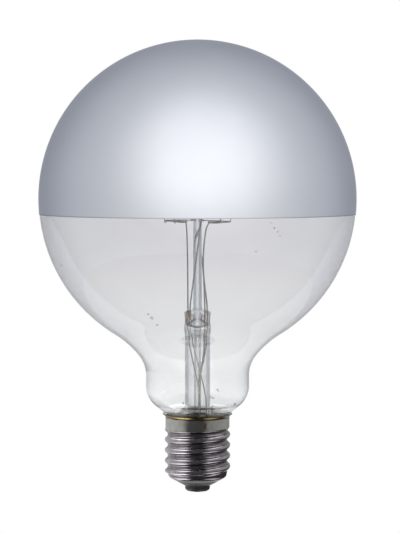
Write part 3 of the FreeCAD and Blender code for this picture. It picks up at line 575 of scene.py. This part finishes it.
def rim_bead(lip_a, lip_b):
    """Rounded bead on the rim, between the ends of the outer and the inner surface."""
    middle = Vector(((lip_a[0] + lip_b[0]) / 2, (lip_a[1] + lip_b[1]) / 2))
    across = Vector((lip_a[0] - lip_b[0], lip_a[1] - lip_b[1])).normalized()
    beyond = Vector((-across.y, across.x))
    if beyond.y < 0:
        beyond = -beyond
    rows = []
    for k in range(13):
        a = math.radians(-40 + 260 * k / 12)
        ahead = 0.30 + RIM_BEAD_R * math.sin(a)
        rows.append(("turned", tuple(middle + beyond * ahead + across * (RIM_BEAD_R * math.cos(a)))))
    return rows


def screw_shell_piece():
    columns = 240
    outside = shell_rows(0.0, 120)
    inside = shell_rows(SHEET, 60)
    rings = []
    for row in outside + rim_bead(outside[-1][1], inside[-1][1]) + inside[::-1]:
        if row[0] == "turned":
            rings.append(circle(*row[1], columns))
            continue
        ring = []
        for i in range(columns):
            a = 2 * math.pi * i / columns
            r = screw_radius(360 * i / columns, row[1], row[2])
            ring.append((r * math.cos(a), r * math.sin(a), row[1]))
        rings.append(ring)
    verts, faces = ring_grid(rings, True)
    return mesh_object("screw_shell", verts, faces, 70)


screw_shell = screw_shell_piece()


# Node helpers

def colour(value):
    if isinstance(value, (int, float)):
        return (value, value, value, 1.0)
    return (value[0], value[1], value[2], 1.0)


def feed(nt, socket, value):
    """Links an output to the socket, or writes a constant on it."""
    if isinstance(value, bpy.types.NodeSocket):
        nt.links.new(value, socket)
    elif socket.type == "RGBA":
        socket.default_value = colour(value)
    else:
        socket.default_value = value


def new_material(name):
    mat = bpy.data.materials.new(name)
    mat.use_nodes = True
    mat.node_tree.nodes.clear()
    return mat, mat.node_tree


def noise_node(nt, scale, detail=4.0, roughness=0.55):
    node = nt.nodes.new("ShaderNodeTexNoise")
    node.inputs["Scale"].default_value = scale
    node.inputs["Detail"].default_value = detail
    node.inputs["Roughness"].default_value = roughness
    nt.links.new(nt.nodes.new("ShaderNodeTexCoord").outputs["Object"], node.inputs["Vector"])
    return node.outputs["Fac"]


def ramp(nt, source, stops):
    node = nt.nodes.new("ShaderNodeValToRGB")
    elements = node.color_ramp.elements
    while len(elements) > 1:
        elements.remove(elements[-1])
    elements[0].position = stops[0][0]
    elements[0].color = colour(stops[0][1])
    for at, value in stops[1:]:
        elements.new(at).color = colour(value)
    nt.links.new(source, node.inputs["Fac"])
    return node.outputs["Color"]


def math_node(nt, operation, *values):
    node = nt.nodes.new("ShaderNodeMath")
    node.operation = operation
    for socket, value in zip(node.inputs, values):
        feed(nt, socket, value)
    return node.outputs[0]


def times(nt, first, *others):
    for other in others:
        first = math_node(nt, "MULTIPLY", first, other)
    return first


def offset_from(nt, value, centre):
    """Distance of a value from a centre, on either side."""
    return math_node(nt, "ABSOLUTE", math_node(nt, "SUBTRACT", value, centre))


def length_of(nt, a, b):
    return math_node(nt, "SQRT", math_node(nt, "ADD", times(nt, a, a), times(nt, b, b)))


def map_range(nt, source, low, high, to_low=0.0, to_high=1.0, smoothed=True):
    node = nt.nodes.new("ShaderNodeMapRange")
    node.interpolation_type = "SMOOTHSTEP" if smoothed else "LINEAR"
    nt.links.new(source, node.inputs["Value"])
    for key, value in (("From Min", low), ("From Max", high), ("To Min", to_low), ("To Max", to_high)):
        node.inputs[key].default_value = value
    return node.outputs["Result"]


def mix_colour(nt, factor, a, b, mode="MIX"):
    node = nt.nodes.new("ShaderNodeMix")
    node.data_type = "RGBA"
    node.blend_type = mode
    for index, value in ((0, factor), (6, a), (7, b)):
        feed(nt, node.inputs[index], value)
    return node.outputs[2]


def mix_shader(nt, factor, a, b):
    node = nt.nodes.new("ShaderNodeMixShader")
    for socket, value in zip(node.inputs, (factor, a, b)):
        feed(nt, socket, value)
    return node.outputs[0]


def plain_shader(nt, kind, tone):
    node = nt.nodes.new(kind)
    feed(nt, node.inputs["Color"], tone)
    return node.outputs[0]


def bump(nt, height, strength, distance, after=None):
    node = nt.nodes.new("ShaderNodeBump")
    node.inputs["Strength"].default_value = strength
    node.inputs["Distance"].default_value = distance
    nt.links.new(height, node.inputs["Height"])
    if after:
        nt.links.new(after, node.inputs["Normal"])
    return node.outputs["Normal"]


def principled(nt, **values):
    node = nt.nodes.new("ShaderNodeBsdfPrincipled")
    for key, value in values.items():
        feed(nt, node.inputs[key.replace("_", " ")], value)
    return node.outputs[0]


def finish_material(nt, shader, absorbed=None, density=0.0):
    """Output node, with an absorbing volume where a colour is given for it."""
    out = nt.nodes.new("ShaderNodeOutputMaterial")
    nt.links.new(shader, out.inputs["Surface"])
    if absorbed is None:
        return
    volume = nt.nodes.new("ShaderNodeVolumeAbsorption")
    feed(nt, volume.inputs["Color"], absorbed)
    feed(nt, volume.inputs["Density"], density)
    nt.links.new(volume.outputs[0], out.inputs["Volume"])


def lamp_through(nt, shader, tint):
    """Light from lamps reaches what is behind the glass."""
    path = nt.nodes.new("ShaderNodeLightPath")
    clear = plain_shader(nt, "ShaderNodeBsdfTransparent", tint)
    return mix_shader(nt, path.outputs["Is Shadow Ray"], shader, clear)


def position(nt):
    node = nt.nodes.new("ShaderNodeSeparateXYZ")
    nt.links.new(nt.nodes.new("ShaderNodeTexCoord").outputs["Object"], node.inputs[0])
    return node.outputs


# Materials

# Marks on the globe's front, in millimetres: x, z and spread
GLASS_DIRT = [
    (-26.1, 109.8, 1.6), (-27.8, 112.5, 0.9), (-23.1, 105.5, 1.1), (-78.8, 138.7, 1.3),
    (8.4, 60.4, 2.0), (12.0, 64.4, 1.5), (6.8, 55.6, 1.2), (21.4, 54.6, 2.2), (-8.3, 57.0, 1.2),
    (41.1, 164.7, 0.8), (42.8, 161.8, 0.9), (44.5, 159.8, 0.8), (46.3, 157.8, 0.9), (48.0, 156.1, 0.8),
    (32.6, 148.8, 0.7), (52.3, 123.5, 0.7),
]


def glass_dirt(nt, x, y, z):
    """1 in the grains of the marks, 0 elsewhere."""
    dirt = None
    front = map_range(nt, y, 0.0, -0.01)
    for at_x, at_z, spread in GLASS_DIRT:
        across = math_node(nt, "SUBTRACT", x, at_x * MM)
        up = math_node(nt, "SUBTRACT", z, at_z * MM)
        spot = times(nt, map_range(nt, length_of(nt, across, up), spread * MM, 0.3 * spread * MM), front)
        dirt = spot if dirt is None else math_node(nt, "MAXIMUM", dirt, spot)
    return times(nt, dirt, map_range(nt, noise_node(nt, 520.0, 3.0, 0.7), 0.50, 0.58))


def clear_glass_material():
    """Clear in the neck and greyer towards the mirror, with a denser absorbing band in the neck that is
    painted shade of the throat.
    """
    mat, nt = new_material("clear_glass")
    x, y, z = position(nt)
    # The tint greys with height towards the mirror
    greying_up = map_range(nt, z, 0.078, 0.165)
    cloud = map_range(nt, noise_node(nt, 14.0, 3.0, 0.5), 0.3, 0.7, 0.85, 1.0)
    tint = ramp(nt, times(nt, greying_up, cloud), [
        (0.0, (0.965, 0.97, 0.97)), (0.5, (0.90, 0.90, 0.91)), (1.0, (0.815, 0.815, 0.835)),
    ])
    rough = map_range(nt, noise_node(nt, 90.0, 6.0, 0.7), 0.45, 0.8, 0.0, 0.05)
    ripples = bump(nt, noise_node(nt, 16.0, 1.0, 0.4), 0.25, 0.0004)
    glass = principled(
        nt, Base_Color=tint, Roughness=rough, IOR=1.58, Transmission_Weight=1.0, Normal=ripples)
    soil = plain_shader(nt, "ShaderNodeBsdfDiffuse", (0.22, 0.21, 0.20))
    stained = mix_shader(nt, times(nt, glass_dirt(nt, x, y, z), 0.55), glass, soil)
    # Denser absorption in the neck: painted shade of the throat
    neck = times(nt, map_range(nt, z, 0.058, 0.064), map_range(nt, z, 0.081, 0.074))
    density = math_node(nt, "MULTIPLY_ADD", neck, 100.0, 40.0)
    finish_material(nt, lamp_through(nt, stained, 0.9), (0.5, 0.5, 0.52), density)
    return mat


def press_tint_and_shade(nt, x, y, z, tint):
    """A greyer dome in the middle of the press, and painted shade: a dark line down each side of it where
    the press folds, and a dark bowed line where it is creased.
    """
    floor_z, top_z = PRESS_FLOOR_Z * MM, PRESS_TOP_Z * MM
    side = math_node(nt, "ABSOLUTE", x)
    front = map_range(nt, y, 0.0, -0.0008)
    dome = times(
        nt, map_range(nt, z, floor_z + 0.0046, floor_z + 0.0060), map_range(nt, side, 0.0026, 0.0019),
        map_range(nt, z, top_z + 0.001, top_z - 0.001))
    tint = mix_colour(nt, dome, tint, (0.80, 0.79, 0.83))
    # Painted shade: a dark line down each side of the dome
    fall = times(nt, math_node(nt, "SUBTRACT", side, 0.0012), 0.62)
    line = offset_from(nt, math_node(nt, "ADD", z, fall), floor_z + 0.005)
    fold_shade = times(nt, map_range(nt, line, 0.0009, 0.0004), map_range(nt, side, 0.0009, 0.0014))
    fold_shade = times(nt, fold_shade, map_range(nt, side, 0.0062, 0.0054), front)
    tint = mix_colour(nt, fold_shade, tint, (0.03, 0.03, 0.02))
    # Painted shade: a dark bowed line across the press's front
    bow = times(nt, x, x, -36.0)
    line = offset_from(nt, math_node(nt, "ADD", z, bow), floor_z + 0.0004)
    crease_shade = times(nt, map_range(nt, line, 0.0009, 0.0004), map_range(nt, side, 0.0072, 0.0062), front)
    return mix_colour(nt, crease_shade, tint, (0.06, 0.06, 0.035))


def stem_glass_material():
    """Clear tube and a greyer rod, with painted shade along the folds of the press."""
    mat, nt = new_material("stem_glass")
    x, y, z = position(nt)
    tube = ramp(nt, noise_node(nt, 60.0, 3.0), [(0.3, (0.92, 0.935, 0.935)), (0.7, (0.95, 0.96, 0.955))])
    rod = ramp(nt, noise_node(nt, 60.0, 3.0), [(0.3, (0.86, 0.89, 0.90)), (0.7, (0.90, 0.92, 0.93))])
    above = map_range(nt, z, PRESS_TOP_Z * MM - 0.003, PRESS_TOP_Z * MM + 0.004)
    tint = press_tint_and_shade(nt, x, y, z, mix_colour(nt, above, tube, rod))
    ripples = bump(nt, noise_node(nt, 55.0, 2.0, 0.5), 0.3, 0.0004)
    glass = principled(nt, Base_Color=tint, Roughness=0.0, IOR=1.5, Transmission_Weight=1.0, Normal=ripples)
    finish_material(nt, lamp_through(nt, glass, 0.92), (0.42, 0.42, 0.45), 55.0)
    return mat


def silver_material():
    """Brushed-looking silver, darker along its lower edge."""
    mat, nt = new_material("silver_coat")
    z = position(nt)["Z"]
    cloud = noise_node(nt, 9.0, 4.0, 0.6)
    base = ramp(nt, cloud, [(0.3, (0.465, 0.478, 0.51)), (0.7, (0.49, 0.503, 0.535))])
    rough = map_range(nt, noise_node(nt, 40.0, 5.0, 0.6), 0.3, 0.7, 0.40, 0.44)
    edge = map_range(nt, z, MIRROR_EDGE_Z * MM + 0.0009, MIRROR_EDGE_Z * MM + 0.0002)
    base = mix_colour(nt, edge, base, (0.31, 0.32, 0.345))
    grain = bump(nt, noise_node(nt, 2600.0, 2.0, 0.5), 0.05, 0.0001)
    finish_material(nt, principled(
        nt, Base_Color=base, Roughness=rough, Metallic=1.0, Specular_Tint=(0.72, 0.73, 0.76), Normal=grain))
    return mat


def cap_tone(nt, x, y, z, radius, grime):
    """Nickel on the thread, darker in its troughs, neutral on the skirt, which has one brown stain."""
    plate = ramp(nt, grime, [
        (0.3, (0.20, 0.185, 0.20)), (0.55, (0.27, 0.255, 0.275)), (0.8, (0.33, 0.31, 0.335)),
    ])
    trough = ramp(nt, grime, [(0.3, (0.10, 0.09, 0.095)), (0.7, (0.20, 0.185, 0.195))])
    skirt = ramp(nt, grime, [(0.3, (0.22, 0.22, 0.205)), (0.8, (0.33, 0.33, 0.315))])
    body = mix_colour(nt, map_range(nt, radius, 0.0180, 0.0197), trough, plate)
    body = mix_colour(nt, map_range(nt, z, 0.0378, 0.0392), body, skirt)
    stain = times(
        nt, map_range(nt, offset_from(nt, x, 0.0046), 0.0011, 0.0003), map_range(nt, z, 0.0395, 0.0405),
        map_range(nt, z, 0.0445, 0.0432), map_range(nt, y, 0.0, -0.01), 0.75)
    return mix_colour(nt, stain, body, (0.10, 0.045, 0.045))


def nickel_material():
    """Worn nickel with a brass-coloured rim that has a painted highlight band and painted shade below it,
    and pale cement smeared on the rim's inner face.
    """
    mat, nt = new_material("nickel_cap")
    x, y, z = position(nt)
    radius = length_of(nt, x, y)
    grime = noise_node(nt, 260.0, 6.0, 0.65)

    def uneven(noise, amount):
        """The height, shifted up and down by a noise."""
        return math_node(nt, "ADD", z, times(nt, math_node(nt, "SUBTRACT", noise, 0.5), amount))

    worn = uneven(noise_node(nt, 180.0, 5.0, 0.6), 0.0008)
    # The rim's brass colour by height over the bead: painted shade at its foot, a brighter band as a
    # painted highlight, and darker again at the top
    brass_and_sheen = ramp(nt, map_range(nt, worn, 0.0447, 0.0478, smoothed=False), [
        (0.0, (0.045, 0.032, 0.016)), (0.38, (0.065, 0.045, 0.02)), (0.48, (0.12, 0.09, 0.035)),
        (0.57, (0.25, 0.195, 0.085)), (0.65, (0.12, 0.09, 0.034)), (0.78, (0.085, 0.06, 0.025)),
        (0.92, (0.045, 0.03, 0.014)), (1.0, (0.035, 0.024, 0.012)),
    ])
    rim = map_range(nt, uneven(grime, 0.002), 0.0448, 0.0456)
    base = mix_colour(nt, rim, cap_tone(nt, x, y, z, radius, grime), brass_and_sheen)
    rough = map_range(nt, noise_node(nt, 500.0, 5.0, 0.7), 0.3, 0.75, 0.17, 0.27)
    dents = bump(nt, noise_node(nt, 120.0, 3.0, 0.5), 0.10, 0.0003)
    grain = bump(nt, noise_node(nt, 1500.0, 4.0, 0.6), 0.06, 0.0001, dents)
    metal = principled(nt, Base_Color=base, Roughness=rough, Metallic=1.0, Normal=grain)
    normal = nt.nodes.new("ShaderNodeSeparateXYZ")
    nt.links.new(nt.nodes.new("ShaderNodeNewGeometry").outputs["Normal"], normal.inputs[0])
    outward = math_node(nt, "ADD", times(nt, normal.outputs[0], x), times(nt, normal.outputs[1], y))
    inner_face = map_range(nt, math_node(nt, "DIVIDE", outward, radius), 0.05, -0.25)
    pale = ramp(nt, grime, [(0.3, (0.80, 0.79, 0.76)), (0.7, (0.93, 0.93, 0.92))])
    smear = plain_shader(nt, "ShaderNodeBsdfDiffuse", pale)
    smeared = times(nt, inner_face, map_range(nt, worn, 0.0455, 0.0463))
    finish_material(nt, mix_shader(nt, smeared, metal, smear))
    return mat


def rough_solid(name, stops, scale, roughness, metallic=0.0, depth=0.0003, strength=0.5):
    """Mottled solid material with a bump of the same grain."""
    mat, nt = new_material(name)
    grain = noise_node(nt, scale, 7.0, 0.65)
    rough = map_range(nt, noise_node(nt, scale * 1.7, 5.0, 0.6), 0.3, 0.7, *roughness)
    finish_material(nt, principled(
        nt, Base_Color=ramp(nt, grain, stops), Roughness=rough, Metallic=metallic,
        Normal=bump(nt, grain, strength, depth)))
    return mat


MATS = {
    "clear_glass": clear_glass_material(),
    "stem_glass": stem_glass_material(),
    "silver_coat": silver_material(),
    "nickel_cap": nickel_material(),
    "black_glass": rough_solid("black_glass", [
        (0.3, (0.014, 0.010, 0.014)), (0.6, (0.030, 0.024, 0.032)), (0.75, (0.10, 0.08, 0.07)),
    ], 180.0, (0.3, 0.55), 0.0, 0.0004, 0.4),
    # Centre contact: near-black as painted shade on its downward face, with pale flecks as painted glints
    "contact_metal": rough_solid("contact_metal", [
        (0.3, (0.008, 0.008, 0.009)), (0.62, (0.03, 0.03, 0.031)), (0.74, (0.5, 0.49, 0.48)),
    ], 420.0, (0.35, 0.6), 0.7, 0.0005, 0.8),
    "solder": rough_solid("solder", [
        (0.3, (0.1, 0.1, 0.1)), (0.7, (0.4, 0.4, 0.41)),
    ], 500.0, (0.3, 0.5), 1.0, 0.0005, 0.7),
    "cement": rough_solid("cement", [
        (0.3, (0.13, 0.12, 0.075)), (0.7, (0.26, 0.24, 0.17)),
    ], 500.0, (0.8, 0.95), 0.0, 0.0006, 0.9),
    "tungsten": rough_solid("tungsten", [
        (0.3, (0.045, 0.028, 0.022)), (0.7, (0.11, 0.07, 0.055)),
    ], 700.0, (0.45, 0.6), 0.4),
    "nickel_wire": rough_solid("nickel_wire", [
        (0.3, (0.12, 0.12, 0.125)), (0.7, (0.26, 0.26, 0.27)),
    ], 500.0, (0.25, 0.4), 1.0),
    "copper_wire": rough_solid("copper_wire", [
        (0.3, (0.10, 0.05, 0.03)), (0.7, (0.30, 0.16, 0.09)),
    ], 500.0, (0.3, 0.5), 1.0),
    "strand_wire": rough_solid("strand_wire", [
        (0.3, (0.15, 0.145, 0.11)), (0.7, (0.32, 0.31, 0.24)),
    ], 500.0, (0.3, 0.45), 1.0),
    "support_metal": rough_solid("support_metal", [
        (0.3, (0.05, 0.05, 0.052)), (0.7, (0.15, 0.15, 0.155)),
    ], 500.0, (0.3, 0.45), 1.0),
}


# Each piece with its slot and the nodes that it replaces

DRESSED = [
    (globe_glass, "clear_glass", "glass_envelope"),
    (silver_coat, "silver_coat", "mirror_coating"),
    (stem_glass, "stem_glass", "stem_tube", "centre_rod"),
    (exhaust_glass, "stem_glass", "exhaust_tube"),
    (screw_shell, "nickel_cap", "cap_shell"),
    (coil_left, "tungsten", "filament_left"),
    (coil_right, "tungsten", "filament_right"),
]
DRESSED += [(obj, "nickel_wire", "inner_lead_" + place) for place, obj in leads.items()]
DRESSED += [(seals[place], "copper_wire", "seal_wire_" + place) for place in LEADS]
DRESSED += [(obj, "strand_wire", "outer_lead_" + place) for place, obj in strands.items()]

replaced = set()
for obj, slot_name, *nodes in DRESSED:
    obj.data.materials.clear()
    obj.data.materials.append(MATS[slot_name])
    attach(obj, "root")
    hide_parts(*nodes)
    replaced.update(nodes)

for part in frame["record"]["subparts"]:
    if part["node"] not in replaced:
        for slot in frame["nodes"][part["node"]].material_slots:
            slot.material = MATS[part["material_slot"]]


# Floor, in millimetres

FLOOR_Z = -120.0


def floor_piece():
    rings = [[(0.0, 0.0, FLOOR_Z)]] + [circle(r, FLOOR_Z, 96) for r in (150.0, 300.0, 420.0, 450.0)]
    verts, faces = ring_grid(rings, False)
    obj = mesh_object("floor", verts, [f[::-1] for f in faces])
    mat, nt = new_material("floor_white")
    finish_material(nt, principled(nt, Base_Color=(0.86, 0.86, 0.86), Roughness=0.8))
    obj.data.materials.append(mat)
    return obj


floor = floor_piece()


# World

BACK = (0, 1, 0)

# What metal and glass mirror by how far it lies in front, from 0 behind the object: tone and hue
ROOM = [
    (0.0, 0.39, (0.99, 0.99, 1.03)), (0.10, 0.39, (0.96, 1.0, 1.08)), (0.213, 0.47, (0.94, 1.0, 1.12)),
    (0.379, 0.645, (0.96, 1.0, 1.07)), (0.61, 0.74, (0.98, 1.0, 1.04)), (0.854, 0.85, (1.0, 1.0, 1.0)),
    (1.0, 0.94, (1.0, 1.0, 1.0)),
]

world = bpy.data.worlds.new("studio")
bpy.context.scene.world = world
world.use_nodes = True
wn = world.node_tree
wn.nodes.clear()
coord = wn.nodes.new("ShaderNodeTexCoord").outputs["Generated"]


def along(direction):
    """Cosine between the world's direction and a given one."""
    dot = wn.nodes.new("ShaderNodeVectorMath")
    dot.operation = "DOT_PRODUCT"
    wn.links.new(coord, dot.inputs[0])
    dot.inputs[1].default_value = Vector(direction).normalized()
    return dot.outputs["Value"]


def toward(direction, wide, narrow):
    """1 inside the narrow cone round a direction, 0 outside the wide one, half angles in degrees."""
    return map_range(wn, along(direction), math.cos(math.radians(wide)), math.cos(math.radians(narrow)))


# Mirrored: the white backdrop, a room that is brightest in front, and a soft light above the camera
in_front = math_node(wn, "MULTIPLY_ADD", along((0.05, -1.0, 0.12)), 0.5, 0.5)
room = ramp(wn, in_front, [(at, tuple(tone * h for h in hue)) for at, tone, hue in ROOM])
room = mix_colour(wn, 1.0, room, 1.38, "MULTIPLY")
soft_light = mix_colour(wn, toward((0.09, -0.87, 0.48), 64, 6), 0.0, 1.0)
room = mix_colour(wn, 1.0, room, soft_light, "ADD")
mirrored = mix_colour(wn, toward(BACK, 16, 7), room, 1.0)

# Seen directly, through glass or by diffuse light: the white backdrop, and grey at its sides
path = wn.nodes.new("ShaderNodeLightPath")
through_glass = path.outputs["Is Transmission Ray"]
sides = mix_colour(wn, through_glass, (0.72, 0.73, 0.74), (0.36, 0.37, 0.39))
behind = mix_colour(wn, through_glass, toward(BACK, 30, 16), toward(BACK, 24, 10))
surround = mix_colour(wn, behind, sides, 1.0)

background = wn.nodes.new("ShaderNodeBackground")
wn.links.new(mix_colour(wn, path.outputs["Is Glossy Ray"], surround, mirrored), background.inputs["Color"])
background.inputs["Strength"].default_value = 1.0
wn.links.new(background.outputs[0], wn.nodes.new("ShaderNodeOutputWorld").inputs["Surface"])


# Lamp

def area_lamp(name, location, target, size_x, size_y, watts):
    data = bpy.data.lights.new(name, "AREA")
    data.shape = "RECTANGLE"
    data.size = size_x
    data.size_y = size_y
    data.energy = watts
    obj = bpy.data.objects.new(name, data)
    obj.location = location
    obj.rotation_euler = (Vector(target) - Vector(location)).to_track_quat("-Z", "Y").to_euler()
    obj.visible_glossy = False
    bpy.context.collection.objects.link(obj)


area_lamp("key", location=(0.42, -1.88, 1.20), target=(0, 0, 0.17), size_x=1.2, size_y=1.0, watts=22)


# Reflector tent round the cap. Its profile is in millimetres

TENT_PROFILE = [
    (37, 71), (50, 71), (64, 71), (84, 70), (104, 60), (116, 40), (118, 20), (112, 0), (96, -20), (76, -32),
    (56, -38), (36, -40), (14, -41),
]
TENT_SPREAD = 300.0     # degrees, open at the back
TENT_STEPS = 48
TENT_REACH = 0.112      # metres, so that it shows in the cap but not in the globe
# Tones by share of a turn, which goes from the back over the left to the front at 0.5
TENT_WALL = [
    (0.08, 1.0), (0.20, 1.25), (0.36, 1.05), (0.41, 0.16),
    (0.555, 0.11), (0.60, 0.62), (0.80, 0.85), (0.90, 0.45),
]
TENT_STRIP = [
    (0.10, 0.5), (0.19, 4.2), (0.36, 6.0), (0.42, 0.10),
    (0.57, 0.08), (0.64, 3.0), (0.74, 2.4), (0.83, 0.12),
]


def tent_material():
    """Grey walls that are darker in front, with bright strips above and below on the left and right.

    It shows only from inside, only within its reach, and never past glass.
    """
    mat, nt = new_material("cap_tent")
    x, y, z = position(nt)
    turn = math_node(nt, "ARCTAN2", x, times(nt, y, -1.0))
    azimuth = math_node(nt, "MULTIPLY_ADD", turn, 0.5 / math.pi, 0.5)
    radius = length_of(nt, x, y)
    wall = ramp(nt, azimuth, TENT_WALL)
    low_right = times(nt, map_range(nt, z, 0.016, -0.012), map_range(nt, x, 0.010, 0.045))
    wall = mix_colour(nt, low_right, wall, (0.10, 0.10, 0.11))
    floor_level = map_range(nt, z, -0.031, -0.035)
    above = times(nt, map_range(nt, z, 0.066, 0.070), map_range(nt, radius, 0.072, 0.058))
    below = times(nt, floor_level, map_range(nt, radius, 0.030, 0.042))
    tone = mix_colour(nt, math_node(nt, "MAXIMUM", above, below), wall, ramp(nt, azimuth, TENT_STRIP))
    under = times(nt, floor_level, map_range(nt, radius, 0.042, 0.030))
    tone = mix_colour(nt, under, tone, (0.06, 0.055, 0.065))
    glow = plain_shader(nt, "ShaderNodeEmission", tone)
    light_path = nt.nodes.new("ShaderNodeLightPath").outputs
    passed = math_node(nt, "ADD", light_path["Transmission Depth"], light_path["Transparent Depth"])
    far = math_node(nt, "GREATER_THAN", light_path["Ray Length"], TENT_REACH)
    outside = nt.nodes.new("ShaderNodeNewGeometry").outputs["Backfacing"]
    hidden = math_node(nt, "MAXIMUM", outside, far)
    hidden = math_node(nt, "MAXIMUM", hidden, math_node(nt, "MINIMUM", passed, 1.0))
    clear = plain_shader(nt, "ShaderNodeBsdfTransparent", 1.0)
    finish_material(nt, mix_shader(nt, hidden, glow, clear))
    return mat


def cap_tent():
    """A studio tent that only reflections see."""
    verts = []
    for r, z in TENT_PROFILE:
        for i in range(TENT_STEPS + 1):
            a = math.radians(-90 + TENT_SPREAD * (i / TENT_STEPS - 0.5))
            verts.append((r * math.cos(a), r * math.sin(a), z))
    faces = []
    row = TENT_STEPS + 1
    for k in range(len(TENT_PROFILE) - 1):
        for i in range(TENT_STEPS):
            j = k * row + i
            faces.append((j, j + 1, j + row + 1, j + row))
    obj = mesh_object("cap_tent", verts, faces, 180)
    side = obj.data.polygons[len(obj.data.polygons) // 2]
    if side.normal.dot(Vector((0, 0, 0.02)) - side.center) < 0:
        obj.data.flip_normals()
    obj.data.materials.append(tent_material())
    obj.visible_camera = False
    obj.visible_diffuse = False
    obj.visible_transmission = False
    obj.visible_shadow = False


cap_tent()


# Camera

PICTURE_HEIGHT, FOCAL_LENGTH = 533, 2008.83     # pixels
CAMERA_PLACE, CAMERA_DIP = (0.0015, -1.20433, 0.20013), 0.05331     # metres and radians

camera_data = bpy.data.cameras.new("camera")
camera_data.sensor_fit = "VERTICAL"
camera_data.sensor_height = 36.0
camera_data.lens = FOCAL_LENGTH / PICTURE_HEIGHT * 36.0
camera = bpy.data.objects.new("camera", camera_data)
camera.location = CAMERA_PLACE
camera.rotation_euler = (math.pi / 2 - CAMERA_DIP, 0, 0)
bpy.context.collection.objects.link(camera)
bpy.context.scene.camera = camera
bpy.context.scene.view_settings.view_transform = "Standard"
